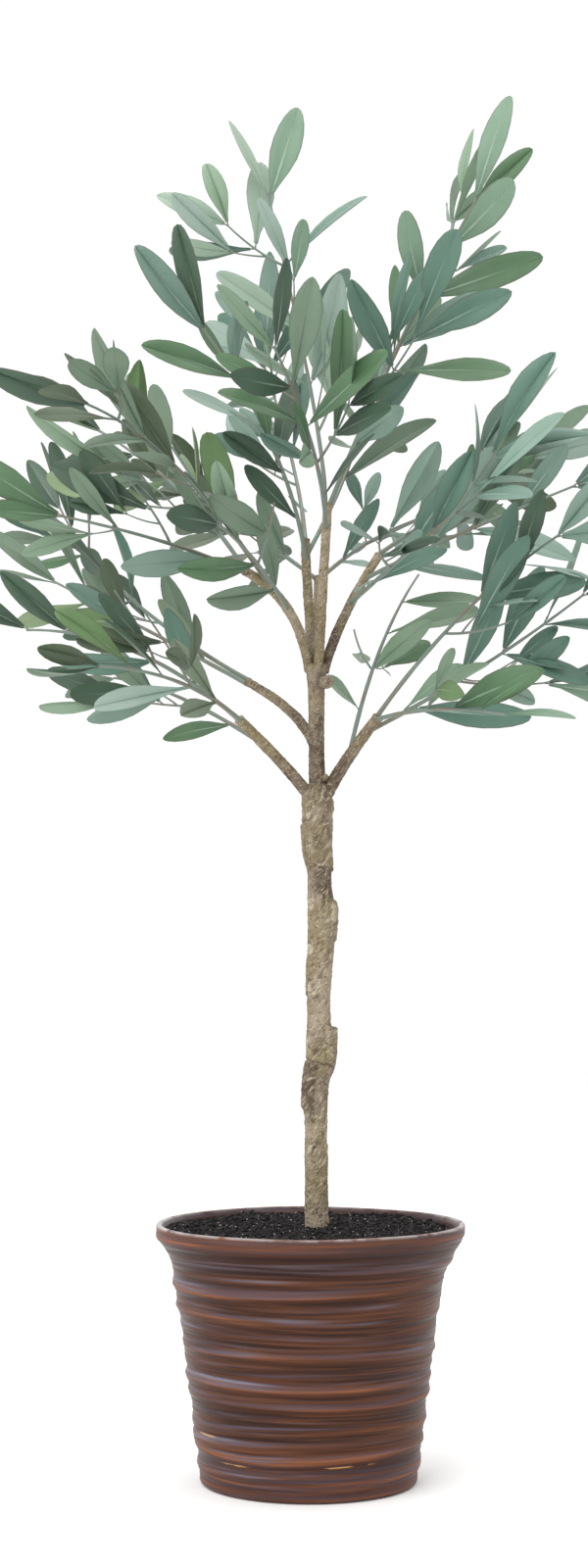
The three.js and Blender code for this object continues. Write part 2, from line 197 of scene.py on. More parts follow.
@dataclass(frozen=True)
class Bend:
    """A quadratic curve from a foot to a tip, in millimetres."""

    foot: Array
    control: Array
    tip: Array

    @classmethod
    def through(cls, foot: Array | Triple, bend: Array | Triple, tip: Array | Triple) -> Bend:
        """Returns the curve from a foot to a tip that passes a bend half way."""
        foot, bend, tip = (np.asarray(place, float) for place in (foot, bend, tip))
        return cls(foot, bend * 2 - foot * 0.5 - tip * 0.5, tip)

    def point(self, t: Number) -> Array:
        """Returns the place at t, or a row for each value in an array of t."""
        t = np.asarray(t, float)[..., None]
        return self.foot * (1 - t) ** 2 + self.control * (2 * t * (1 - t)) + self.tip * t * t

    def heading(self, t: float) -> Array:
        """Returns the unit direction at t."""
        return unit((self.control - self.foot) * (1 - t) + (self.tip - self.control) * t)

    def line(self, steps: int) -> Array:
        """Returns the curve as a line of that many steps."""
        return self.point(np.linspace(0, 1, steps + 1))

    def length(self, chords: int = 200) -> float:
        """Returns the curve's length, summed over its chords."""
        return float(np.linalg.norm(np.diff(self.line(chords), axis=0), axis=1).sum())

    def side_way(self) -> Array:
        """Works out how the curve bends.

        Returns:
            The unit direction square to the plane that it bends in.
        """
        across = cross(self.control - self.foot, self.tip - self.control)
        if float(across @ across) < 1e-6:
            across = cross(self.tip - self.foot, np.array([0.0, 1.0, 0.0]))
        return unit(across)


# Meshes


class Slot(Enum):
    """The record's material slots."""

    POT = "pot"
    SOIL = "soil"
    BARK = "bark"
    FOLIAGE = "foliage"


def add_piece(mesh: Mesh, name: str, materials: list[Material], nodes: list[str]) -> None:
    """Adds a finished mesh to the scene as a piece that stands for solids of the part.

    Args:
        mesh: The piece's mesh, in metres in the part's frame.
        name: The piece's name.
        materials: Its materials, in the order that its faces number them.
        nodes: The solids that it stands for.
    """
    mesh.name = name
    piece = bpy.data.objects.new(name, mesh)
    bpy.context.scene.collection.objects.link(piece)
    for material in materials:
        mesh.materials.append(material)
    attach(piece, "root")
    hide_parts(*nodes)
    LOG.info("%s: %d faces, for %s", name, len(mesh.polygons), ", ".join(nodes))


def mesh_of(bm: bmesh.types.BMesh, name: str = "mesh") -> Mesh:
    """Makes a smooth-shaded mesh from a bmesh.

    Args:
        bm: The bmesh, which is freed.
        name: The mesh's name.

    Returns:
        The mesh.
    """
    for face in bm.faces:
        face.smooth = True
    mesh = bpy.data.meshes.new(name)
    bm.to_mesh(mesh)
    bm.free()
    return mesh


def places(mesh: Mesh) -> Array:
    """Reads the places of a mesh's vertices.

    Args:
        mesh: The mesh.

    Returns:
        One row for each vertex.
    """
    flat = np.empty(len(mesh.vertices) * 3)
    mesh.vertices.foreach_get("co", flat)
    return flat.reshape(-1, 3)


def set_places(mesh: Mesh, points: Array) -> None:
    """Moves a mesh's vertices to new places."""
    mesh.vertices.foreach_set("co", points.ravel())
    mesh.update()


def set_values(mesh: Mesh, **values: Number) -> None:
    """Keeps numbers for each vertex as attributes that a material can read.

    Args:
        mesh: The mesh.
        values: The numbers, or one for all, by the attribute's name.
    """
    for name, numbers in values.items():
        attribute = mesh.attributes.new(name, "FLOAT", "POINT")
        attribute.data.foreach_set("value", np.full(len(mesh.vertices), numbers, np.float32))


def turned_mesh(outline: list[Pair], steps: int, size: float = 1.0) -> Mesh:
    """Returns a closed solid of revolution about the Z axis.

    Args:
        outline: Radius and height of each point in millimetres, from the axis back to the axis.
        steps: Faces in a full turn.
        size: How many times larger it is made.

    Returns:
        The solid in metres, with its faces outwards.
    """
    bm = bmesh.new()
    verts = [bm.verts.new((radius * size * MM, 0.0, height * size * MM)) for radius, height in outline]
    edges = [bm.edges.new(pair) for pair in zip(verts, verts[1:])]
    turn = {"cent": (0, 0, 0), "axis": (0, 0, 1), "angle": FULL_TURN}
    bmesh.ops.spin(bm, geom=verts + edges, steps=steps, use_merge=True, **turn)
    bmesh.ops.remove_doubles(bm, verts=bm.verts[:], dist=1e-6)
    bmesh.ops.recalc_face_normals(bm, faces=bm.faces[:])
    return mesh_of(bm)


def rod(sides: int, steps: int) -> Mesh:
    """Returns a closed rod of radius 1 and height 1 that stands on the origin.

    Args:
        sides: Faces round it.
        steps: Rows of faces along it.

    Returns:
        The rod, ready to be bent along a curve.
    """
    bm = bmesh.new()
    lifted = Matrix.Translation((0, 0, 0.5))
    bmesh.ops.create_cone(bm, cap_ends=True, segments=sides, radius1=1, radius2=1, depth=1, matrix=lifted)
    upright = [edge for edge in bm.edges if abs(edge.verts[0].co.z - edge.verts[1].co.z) > 0.5]
    bmesh.ops.subdivide_edges(bm, edges=upright, cuts=steps - 1, use_grid_fill=True)
    return mesh_of(bm)


def bent_rod(points: Array, curve: Bend, t: Array, radii: Array, sink: Number = 0.0) -> Array:
    """Bends a rod along a curve.

    Args:
        points: The rod's vertices.
        curve: Its new centre line.
        t: How far along the line each vertex is.
        radii: The radius at each vertex.
        sink: How far each vertex is pulled back along the line.

    Returns:
        The new places, one row for each vertex.
    """
    headings = np.stack([curve.heading(value) for value in t])
    level = np.cross(curve.side_way(), headings)
    level /= np.linalg.norm(level, axis=1)[:, None]
    out = level * points[:, :1] + np.cross(headings, level) * points[:, 1:2]
    return curve.point(t) - headings * np.asarray(sink)[..., None] + out * radii[:, None]


@dataclass
class Pattern:
    """A small mesh as arrays, to be copied many times."""

    points: Array
    faces: list[tuple[int, ...]]
    kinds: list[int]
    layout: Array

    @classmethod
    def of(cls, mesh: Mesh) -> Pattern:
        """Reads a mesh, and lays its texture out by its first two coordinates."""
        faces = [tuple(face.vertices) for face in mesh.polygons]
        return cls(places(mesh), faces, [face.material_index for face in mesh.polygons], places(mesh)[:, :2])


class Heap:
    """Copies of small patterns, gathered into one mesh."""

    def __init__(self) -> None:
        """Starts empty."""
        self.points: list[Array] = []
        self.layouts: list[Array] = []
        self.faces: list[tuple[int, ...]] = []
        self.slots: list[int] = []
        self.count = 0

    def add(self, pattern: Pattern, points: Array, slots: list[int]) -> None:
        """Adds a copy of a pattern.

        Args:
            pattern: What is copied.
            points: Its vertices' places in this copy.
            slots: The material number of each kind of face in the pattern.
        """
        self.points.append(points)
        self.layouts.append(pattern.layout)
        self.faces.extend(tuple(i + self.count for i in face) for face in pattern.faces)
        self.slots.extend(slots[kind] for kind in pattern.kinds)
        self.count += len(points)

    def mesh(self, sharp: float = 60.0) -> Mesh:
        """Joins the copies.

        Args:
            sharp: The angle in degrees past which an edge is sharp.

        Returns:
            One mesh, in metres, with the copies' texture places as its UV map.
        """
        mesh = bpy.data.meshes.new("heap")
        mesh.from_pydata((np.concatenate(self.points) * MM).tolist(), [], self.faces)
        mesh.polygons.foreach_set("material_index", self.slots)
        mesh.shade_smooth()
        mesh.set_sharp_from_angle(angle=math.radians(sharp))
        corners = np.empty(len(mesh.loops), int)
        mesh.loops.foreach_get("vertex_index", corners)
        uv = mesh.uv_layers.new(name="UVMap")
        uv.data.foreach_set("uv", np.concatenate(self.layouts)[corners].ravel())
        mesh.update()
        return mesh


# Materials


def colour(code: str) -> tuple[float, float, float, float]:
    """Returns a screen colour such as "8a5436" as the linear colour that shaders use."""
    screen = [int(code[i : i + 2], 16) / 255 for i in (0, 2, 4)]
    return (*(c / 12.92 if c <= 0.04045 else ((c + 0.055) / 1.055) ** 2.4 for c in screen), 1.0)


class Graph:
    """A node tree, with short ways to add nodes and join them. Colours are given by their codes."""

    def __init__(self, tree: bpy.types.NodeTree) -> None:
        """Works on an empty or new tree."""
        self.tree = tree

    def add(self, kind: str, inputs: dict[str | int, Feed] | None = None, **settings: object) -> Node:
        """Adds a node.

        Args:
            kind: The node's type, without its "ShaderNode".
            inputs: A socket, a plain value or a colour's code for each named or numbered input.
            settings: The node's own settings.

        Returns:
            The node.
        """
        node = self.tree.nodes.new("ShaderNode" + kind)
        for name, value in settings.items():
            setattr(node, name, value)
        for key, value in (inputs or {}).items():
            if isinstance(value, Socket):
                self.tree.links.new(value, node.inputs[key])
            else:
                node.inputs[key].default_value = colour(value) if isinstance(value, str) else value
        return node

    def math(self, operation: str, a: Feed, b: Feed = 0.0, clamp: bool = False) -> Socket:
        """Returns the result of a Math node on a and b."""
        return self.add("Math", {0: a, 1: b}, operation=operation, use_clamp=clamp).outputs[0]

    def times(self, a: Feed, b: Feed) -> Socket:
        """Returns a times b."""
        return self.math("MULTIPLY", a, b)

    def plus(self, a: Feed, b: Feed) -> Socket:
        """Returns a plus b."""
        return self.math("ADD", a, b)

    def minus(self, a: Feed, b: Feed) -> Socket:
        """Returns a minus b."""
        return self.math("SUBTRACT", a, b)

    def away(self, value: Feed, middle: float) -> Socket:
        """Returns how far a value is from a middle, on either side."""
        return self.math("ABSOLUTE", self.minus(value, middle))

    def blend(self, share: Feed, a: Feed, b: Feed) -> Socket:
        """Returns colour a mixed towards colour b by a share."""
        return self.add("Mix", {0: share, 6: a, 7: b}, data_type="RGBA").outputs[2]

    def remap(
        self, value: Feed, low: Feed, high: Feed, to_low: float = 0.0, to_high: float = 1.0
    ) -> Socket:
        """Returns a value remapped smoothly, low to to_low and high to to_high."""
        inputs = {"Value": value, 1: low, 2: high, 3: to_low, 4: to_high}
        return self.add("MapRange", inputs, interpolation_type="SMOOTHSTEP").outputs[0]

    def noise(
        self, place: Feed, scale: Feed, detail: float, distortion: float = 0.0, rough: float = 0.5
    ) -> Socket:
        """Adds smooth noise about a half.

        Args:
            place: Where on the surface.
            scale: How many lumps there are in a metre.
            detail: How fine it gets.
            distortion: How far it is pulled about.
            rough: How strong its fine parts are.

        Returns:
            The noise.
        """
        inputs = {"Vector": place, "Scale": scale, "Detail": detail}
        inputs |= {"Distortion": distortion, "Roughness": rough}
        return self.add("TexNoise", inputs).outputs[0]

    def place(self) -> Socket:
        """Returns the place on the object, in metres."""
        return self.add("TexCoord").outputs["Object"]

    def attribute(self, name: str) -> Socket:
        """Returns the number that the mesh keeps under that name."""
        return self.add("Attribute", attribute_name=name).outputs["Fac"]

    def bump(self, height: Socket, strength: float = 1.0) -> Socket:
        """Returns the normal of a relief whose height is in metres."""
        return self.add("Bump", {"Height": height, "Strength": strength, "Distance": 1.0}).outputs[0]

    def surface(self, base: Feed, roughness: Feed, **more: Feed) -> Node:
        """Adds the shader of a plain surface.

        Args:
            base: Its colour.
            roughness: Its roughness.
            more: Its specular level and its normal, where given.

        Returns:
            The shader.
        """
        inputs = {"Base Color": base, "Roughness": roughness}
        names = {"specular": "Specular IOR Level", "normal": "Normal"}
        return self.add("BsdfPrincipled", inputs | {names[key]: value for key, value in more.items()})


Build = Callable[[Graph, bpy.types.NodeOutputs], Socket]


class Effects:
    """Node groups that more than one material uses, each built once."""

    KINDS = {"Place": "Vector", "First": "Color", "Second": "Color", "Colour": "Color"}
    made: dict[str, bpy.types.NodeTree] = {}

    @classmethod
    def placed(cls, graph: Graph, name: str, inputs: dict[str, Feed], output: str, build: Build) -> Socket:
        """Places a group in a material, and builds it first where it is new.

        Args:
            graph: The material's graph.
            name: The group's name.
            inputs: A socket, a plain value or a colour's code for each of its inputs.
            output: The name of its output.
            build: Makes the output's socket from the group's graph and input sockets.

        Returns:
            Its output.
        """
        if name not in cls.made:
            tree = cls.made[name] = bpy.data.node_groups.new(name, "ShaderNodeTree")
            for key in (*inputs, output):
                way = "OUTPUT" if key == output else "INPUT"
                kind = "NodeSocket" + cls.KINDS.get(key, "Float")
                tree.interface.new_socket(key, in_out=way, socket_type=kind)
            result = build(Graph(tree), tree.nodes.new("NodeGroupInput").outputs)
            tree.links.new(result, tree.nodes.new("NodeGroupOutput").inputs[output])
        return graph.add("Group", inputs, node_tree=cls.made[name]).outputs[output]

    @classmethod
    def mottle(
        cls,
        graph: Graph,
        place: Feed,
        scale: float,
        first: Feed,
        second: Feed,
        low: float = 0.45,
        high: float = 0.65,
        amount: float = 1.0,
    ) -> Socket:
        """Returns a first colour with patches of a second that come and go over it.

        Args:
            graph: The material's graph.
            place: Where on the surface.
            scale: How many patches there are in a metre.
            first: The colour under the patches.
            second: The patches' colour.
            low: The noise at which a patch begins.
            high: The noise at which it is whole.
            amount: How much a whole patch covers.

        Returns:
            The colour.
        """

        def build(inner: Graph, source: bpy.types.NodeOutputs) -> Socket:
            """Blends both colours by a noise.

            Args:
                inner: The group's graph.
                source: Its inputs.

            Returns:
                The colour.
            """
            lumps = inner.noise(source["Place"], source["Scale"], 4.0)
            share = inner.times(inner.remap(lumps, source["From"], source["To"]), source["Amount"])
            return inner.blend(share, source["First"], source["Second"])

        inputs = {"Place": place, "Scale": scale, "First": first, "Second": second}
        inputs |= {"From": low, "To": high, "Amount": amount}
        return cls.placed(graph, "mottle", inputs, "Colour", build)

    @classmethod
    def grain(cls, graph: Graph, place: Feed, wrinkles: Pair, grains: Pair) -> Socket:
        """Returns a fine relief of wrinkles and grains.

        Args:
            graph: The material's graph.
            place: Where on the surface.
            wrinkles: How many coarse wrinkles there are in a metre, and their height in metres.
            grains: The same of the fine grains.

        Returns:
            The relief's height in metres.
        """

        def build(inner: Graph, source: bpy.types.NodeOutputs) -> Socket:
            """Adds both noises by their heights.

            Args:
                inner: The group's graph.
                source: Its inputs.

            Returns:
                The height.
            """
            coarse = inner.noise(source["Place"], source["Wrinkle scale"], 5.0, 1.2)
            fine = inner.noise(source["Place"], source["Grain scale"], 2.0)
            coarse = inner.times(coarse, source["Wrinkle height"])
            return inner.plus(coarse, inner.times(fine, source["Grain height"]))

        names = ("Place", "Wrinkle scale", "Wrinkle height", "Grain scale", "Grain height")
        return cls.placed(graph, "grain", dict(zip(names, (place, *wrinkles, *grains))), "Height", build)


class Finish:
    """What every finish shares: a new material and its shader."""

    name = "finish"

    def material(self) -> Material:
        """Makes a material with this finish.

        Returns:
            The new material.
        """
        material = bpy.data.materials.new(self.name)
        material.use_nodes = True
        material.node_tree.nodes.clear()
        graph = Graph(material.node_tree)
        graph.add("OutputMaterial", {"Surface": self.shader(graph).outputs[0]})
        return material

    def shader(self, graph: Graph) -> Node:
        """Returns the shader node that gives the surface its looks."""
        raise NotImplementedError


@dataclass(frozen=True)
class GlazeFinish(Finish):
    """Rust-brown glaze over thrown ribs, darker in the grooves and lighter on the crests, partly as painted
    shade and painted highlight, with painted shade under the ribs and a blue-grey painted reflection on
    their upper slopes.

    Streaks are how many there are in a metre, round the pot and upright. Reliefs are in metres.
    A pair of levels is where a colour begins to show and where it is whole.
    """

    name: str = "brown_glaze"
    # The crest colour is lighter rust, partly painted highlight; the groove colour is darker glaze, partly
    # painted shade in the grooves.
    ridge: str = "7e4d32"
    wall: str = "543323"
    groove_and_shade: str = "342019"
    # Painted shade on the slopes that face down, under the ribs.
    under: str = "261512"
    # Painted reflection: a plum-grey veil on the ribs' upper slopes, with blue-grey sheen streaks painted
    # where it is thick.
    film: str = "574b54"
    sheen: str = "787b8b"
    # Pale lip colour: worn glaze, and painted highlights at the front and at both sides.
    worn: str = "aeaaaa"
    chip: str = "c08f5c"
    bands: Pair = (6.0, 160.0)
    lines: Pair = (9.0, 420.0)
    breaks: Pair = (40.0, 150.0)
    band_share: float = 1.3
    line_share: float = 1.9
    band_relief: float = 0.0012
    line_relief: float = 0.0009
    pale_lip_scale: float = 60.0
    chip_heights: Pair = (0.0298, 0.0515)
    chip_reach: Pair = (0.0009, 0.0004)
    wall_at: Pair = (-0.15, 0.4)
    ridge_at: Pair = (0.4, 1.05)
    painted_shade_at: Pair = (-0.12, -0.5)
    painted_shade_share: float = 0.6
    reflection_at: Pair = (0.14, -0.14)
    reflection_least: float = 0.35
    sheen_power: float = 1.6
    sheen_at: Pair = (-0.06, 0.2)
    sheen_share: float = 0.7
    broken_at: Pair = (-0.06, 0.0)
    broken_share: float = 0.9
    pale_lip_at: Pair = (0.28, 0.58)
    rough_at: Pair = (-0.2, 0.2)
    roughness: Pair = (0.3, 0.5)
    specular: float = 0.11

    def shader(self, graph: Graph) -> Node:
        """Paints by the relief, the painted reflection and the flow of the ribs that the mesh keeps, with
        painted shade on slopes that face down.

        Args:
            graph: The material's graph.

        Returns:
            The shader node.
        """
        place, flow, film = graph.place(), graph.attribute("flow"), graph.attribute("film")
        parts = graph.add("SeparateXYZ", {0: place}).outputs
        laid = graph.add("CombineXYZ", {0: parts[0], 1: parts[1], 2: flow}).outputs[0]
        counts = (self.bands, self.lines, self.breaks)
        bands, lines, breaks = (self.streaks(graph, laid, *count) for count in counts)
        level = graph.plus(graph.attribute("relief"), graph.times(bands, self.band_share))
        level = graph.plus(level, graph.times(lines, self.line_share))
        # Darker in the grooves and lighter on the crests: glaze colour, partly painted shade and painted
        # highlight.
        base = graph.blend(graph.remap(level, *self.wall_at), self.groove_and_shade, self.wall)
        base = graph.blend(graph.remap(level, *self.ridge_at), base, self.ridge)
        # Painted shade: slopes that face down darken towards the under colour.
        up = graph.add("SeparateXYZ", {0: graph.add("NewGeometry").outputs["Normal"]}).outputs[2]
        base = graph.blend(graph.remap(up, *self.painted_shade_at, 0.0, self.painted_shade_share), base, self.under)
        # Painted reflection on the ribs' upper slopes, broken by the thrown lines, with brighter painted
        # sheen streaks where it is thickest.
        veiled = graph.times(film, graph.remap(lines, *self.reflection_at, self.reflection_least, 1.0))
        base = graph.blend(veiled, base, self.film)
        thick = graph.math("POWER", film, self.sheen_power)
        bright = graph.times(thick, graph.remap(bands, *self.sheen_at, 0.0, self.sheen_share))
        base = graph.blend(bright, base, self.sheen)
        broken = graph.remap(breaks, *self.broken_at, 0.0, self.broken_share)
        chipped = graph.attribute("chipped")
        for height in self.chip_heights:
            line = graph.times(graph.remap(graph.away(flow, height), *self.chip_reach), broken)
            base = graph.blend(graph.times(line, chipped), base, self.chip)
        # Pale lip: worn glaze, with painted highlights at the front and at both sides.
        worn = Effects.mottle(graph, place, self.pale_lip_scale, base, self.worn, *self.pale_lip_at)
        base = graph.blend(graph.attribute("worn"), base, worn)
        height = graph.plus(graph.times(bands, self.band_relief), graph.times(lines, self.line_relief))
        roughness = graph.remap(lines, *self.rough_at, *self.roughness)
        return graph.surface(base, roughness, specular=self.specular, normal=graph.bump(height))

    @staticmethod
    def streaks(graph: Graph, laid: Socket, around: float, upright: float) -> Socket:
        """Returns thrown lines as noise about zero, by how many there are in a metre each way."""
        stretched = graph.add("Mapping", {"Vector": laid, "Scale": (around, around, upright)}).outputs[0]
        return graph.minus(graph.noise(stretched, 1.0, 3.0, rough=0.6), 0.5)


@dataclass(frozen=True)
class SoilFinish(Finish):
    """Near-black potting soil."""

    name: str = "black_soil"
    dark: str = "0a090a"
    light: str = "352e2e"

    def shader(self, graph: Graph) -> Node:
        """Mottles two near-blacks under a rough grain.

        Args:
            graph: The material's graph.

        Returns:
            The shader node.
        """
        tone = Effects.mottle(graph, graph.place(), 380.0, self.dark, self.light, 0.47)
        fine = Effects.grain(graph, graph.place(), (500.0, 0.0012), (1500.0, 0.0005))
        return graph.surface(tone, 0.9, specular=0.25, normal=graph.bump(fine))


@dataclass(frozen=True)
class SpeckFinish(Finish):
    """Pale mineral specks in the soil."""

    name: str = "pale_specks"
    pale: str = "d2cbc2"
    dull: str = "6f675e"

    def shader(self, graph: Graph) -> Node:
        """Mottles pale and dull grains."""
        return graph.surface(Effects.mottle(graph, graph.place(), 90.0, self.pale, self.dull), 0.5)


@dataclass(frozen=True)
class BarkFinish(Finish):
    """Printed and crinkled bark sheet, grey-tan and olive with brown laps and slanting creases, with painted
    shade in its creases and hollows, painted highlights on its folds and painted shadow along its laps'
    edges.

    Scales are how many lumps there are in a metre. The print is stretched along a slant.
    """

    name: str = "bark_sheet"
    tan: str = "978a77"
    olive: str = "827659"
    # Brown: real brown patches and laps, and painted shadow lines along the laps' edges.
    brown: str = "4f4136"
    # Dark colour of the painted shade in the creases, the crinkles and the folds' hollows.
    blotch: str = "6c6048"
    crease_shade: str = "443729"
    # Pale colour of the painted highlights on the folds' tops and on the crinkles.
    pale: str = "cfc5ae"
    cut: str = "b3a586"
    tone_scale: float = 34.0
    patch_scale: float = 130.0
    blotch_scale: float = 190.0
    crinkle_scale: float = 330.0
    slant: float = -0.85
    stretch: float = 2.6

    def shader(self, graph: Graph) -> Node:
        """Paints grey-tan and olive patches, brown laps with painted shadow along their edges, painted shade
        in the slanting creases and the folds' hollows, painted highlights on the folds' tops and crinkles,
        and pale cut ends at the limbs' lips.

        Args:
            graph: The material's graph.

        Returns:
            The shader node.
        """
        place, folds = graph.place(), graph.attribute("height")
        slant = {"Vector": place, "Rotation": (0.0, self.slant, 0.0), "Scale": (self.stretch, 1.0, 1.0)}
        slanted = graph.add("Mapping", slant, vector_type="TEXTURE").outputs[0]
        blotches = graph.noise(slanted, self.blotch_scale, 3.0)
        patchy = graph.noise(place, self.patch_scale, 4.0)
        crinkle = graph.noise(slanted, self.crinkle_scale, 2.0, 0.8)
        base = Effects.mottle(graph, place, self.tone_scale, self.tan, self.olive, 0.4, 0.58)
        # Thin dark crinkle lines: painted shade in the crinkles.
        crease_shade = graph.remap(graph.away(crinkle, 0.47), 0.035, 0.006)
        for share, tint in (
            (graph.remap(blotches, 0.48, 0.7, 0.0, 0.4), self.blotch),
            # Real brown, and painted shadow lines along the laps' edges.
            (graph.times(graph.attribute("brown"), graph.remap(patchy, 0.3, 0.6, 0.6, 1.0)), self.brown),
            # Painted highlight on the folds' tops.
            (graph.remap(folds, 0.64, 1.0, 0.0, 0.38), self.pale),
            # Painted shade in the folds' hollows.
            (graph.remap(folds, 0.38, 0.05, 0.0, 0.55), self.crease_shade),
            # Painted shade in the crinkles.
            (graph.times(crease_shade, graph.remap(patchy, 0.36, 0.58, 0.15, 0.85)), self.crease_shade),
            # Painted highlight on the crinkles.
            (graph.remap(graph.away(crinkle, 0.54), 0.03, 0.006, 0.0, 0.34), self.pale),
            (graph.attribute("cut"), self.cut),
        ):
            base = graph.blend(share, base, tint)
        fine = Effects.grain(graph, slanted, (260.0, 0.0016), (900.0, 0.0003))
        return graph.surface(base, 0.75, specular=0.25, normal=graph.bump(fine))


@dataclass(frozen=True)
class StemFinish(Finish):
    """Moulded grey-green plastic of stems, twigs and leaf stalks."""

    name: str = "green_stem"
    green: str = "68756b"
    brown: str = "6c695b"

    def shader(self, graph: Graph) -> Node:
        """Mottles grey-green with brown along the stems.

        Args:
            graph: The material's graph.

        Returns:
            The shader node.
        """
        tone = Effects.mottle(graph, graph.place(), 25.0, self.green, self.brown)
        fine = Effects.grain(graph, graph.place(), (350.0, 0.0002), (1200.0, 0.00005))
        return graph.surface(tone, 0.5, normal=graph.bump(fine))


@dataclass(frozen=True)
class LeafFinish(Finish):
    """One side of a fabric leaf: its own plain green, a darker foot, a middle rib and faint veins."""

    name: str = "leaf"
    green: str = "5f7f63"
    foot: str = "3f5a44"
    rib: str = "8aa487"
    rim: str = "4d4539"
    foot_share: float = 0.75
    rib_share: float = 0.9
    rib_end: float = 0.98
    rib_relief: float = 0.0004
    vein_relief: float = 0.00008
    veins: Pair = (130.0, 120.0)
    vein_share: float = 0.2
    foot_along: Pair = (0.75, 0.05)
    foot_across: Pair = (0.42, 0.05)
    patch_scale: float = 30.0
    patch_share: float = 0.25
    rib_widths: Pair = (0.07, 0.024)
    rim_at: Pair = (0.42, 0.5)
    rim_share: float = 0.55
    roughness: float = 0.42
    specular: float = 0.42

    def shader(self, graph: Graph) -> Node:
        """Shades from foot to tip along the leaf's own map, with slanting veins as relief.

        Args:
            graph: The material's graph.

        Returns:
            The shader node.
        """
        parts = graph.add("SeparateXYZ", {0: graph.add("UVMap", uv_map="UVMap").outputs[0]}).outputs
        along, across = parts[0], graph.away(parts[1], 0.5)
        inner = graph.remap(across, *self.foot_across, 0.5, 1.0)
        foot = graph.times(graph.remap(along, *self.foot_along), inner)
        base = graph.blend(graph.times(foot, self.foot_share), self.green, self.foot)
        patches = (self.patch_scale, base, self.foot, 0.4, 0.8, self.patch_share)
        base = Effects.mottle(graph, graph.place(), *patches)
        slant = graph.minus(graph.times(along, self.veins[0]), graph.times(across, self.veins[1]))
        wave = graph.math("SINE", slant)
        base = graph.blend(graph.remap(wave, -1.0, 1.0, 0.0, self.vein_share), base, self.foot)
        half_rib = graph.remap(along, 0.1, 0.8, *self.rib_widths)
        line = graph.math("SUBTRACT", 1.0, graph.math("DIVIDE", across, half_rib), clamp=True)
        rib = graph.times(graph.remap(line, 0.0, 0.6), graph.remap(along, self.rib_end, 0.3))
        base = graph.blend(graph.times(rib, self.rib_share), base, self.rib)
        base = graph.blend(graph.remap(across, *self.rim_at, 0.0, self.rim_share), base, self.rim)
        relief = graph.plus(graph.times(wave, self.vein_relief), graph.times(line, self.rib_relief))
        return graph.surface(base, self.roughness, specular=self.specular, normal=graph.bump(relief, 0.6))


@dataclass(frozen=True)
class FloorFinish(Finish):
    """Plain pale studio floor."""

    name: str = "pale_floor"
    pale: str = "fafaf9"

    def shader(self, graph: Graph) -> Node:
        """Varies only the roughness a little."""
        uneven = graph.noise(graph.place(), 3.0, 2.0)
        return graph.surface(self.pale, graph.remap(uneven, 0.0, 1.0, 0.7, 0.9))


# Pot and soil


@dataclass(frozen=True)
class Ridge:
    """One thrown ridge of the pot: its height in millimetres, how far it stands out and how it wanders."""

    height: float
    strength: float
    wander: float

    def drift(self, angle: Array) -> Array:
        """Works out how far the ridge wanders from its height in front.

        Args:
            angle: Round the pot, in radians.

        Returns:
            Millimetres up.
        """
        once = np.sin(angle + self.wander) + math.cos(self.wander)
        twice = np.sin(2 * angle + 2.3 * self.wander) + math.sin(2.3 * self.wander)
        return 1.8 * once + 1.2 * twice


@dataclass(frozen=True)
class Chip:
    """A chip in the glaze: its height in millimetres, and its middle and spread in degrees."""

    height: float
    middle: float
    spread: float

    def cover(self, angle: Array, height: Array) -> Array:
        """Returns how near each place is to the chip, from 0 to 1."""
        away = signed(angle, math.radians(self.middle)) / math.radians(self.spread)
        return ease(1.5 - np.abs(away)) * ease(2.0 - np.abs(height - self.height) / 6.0)


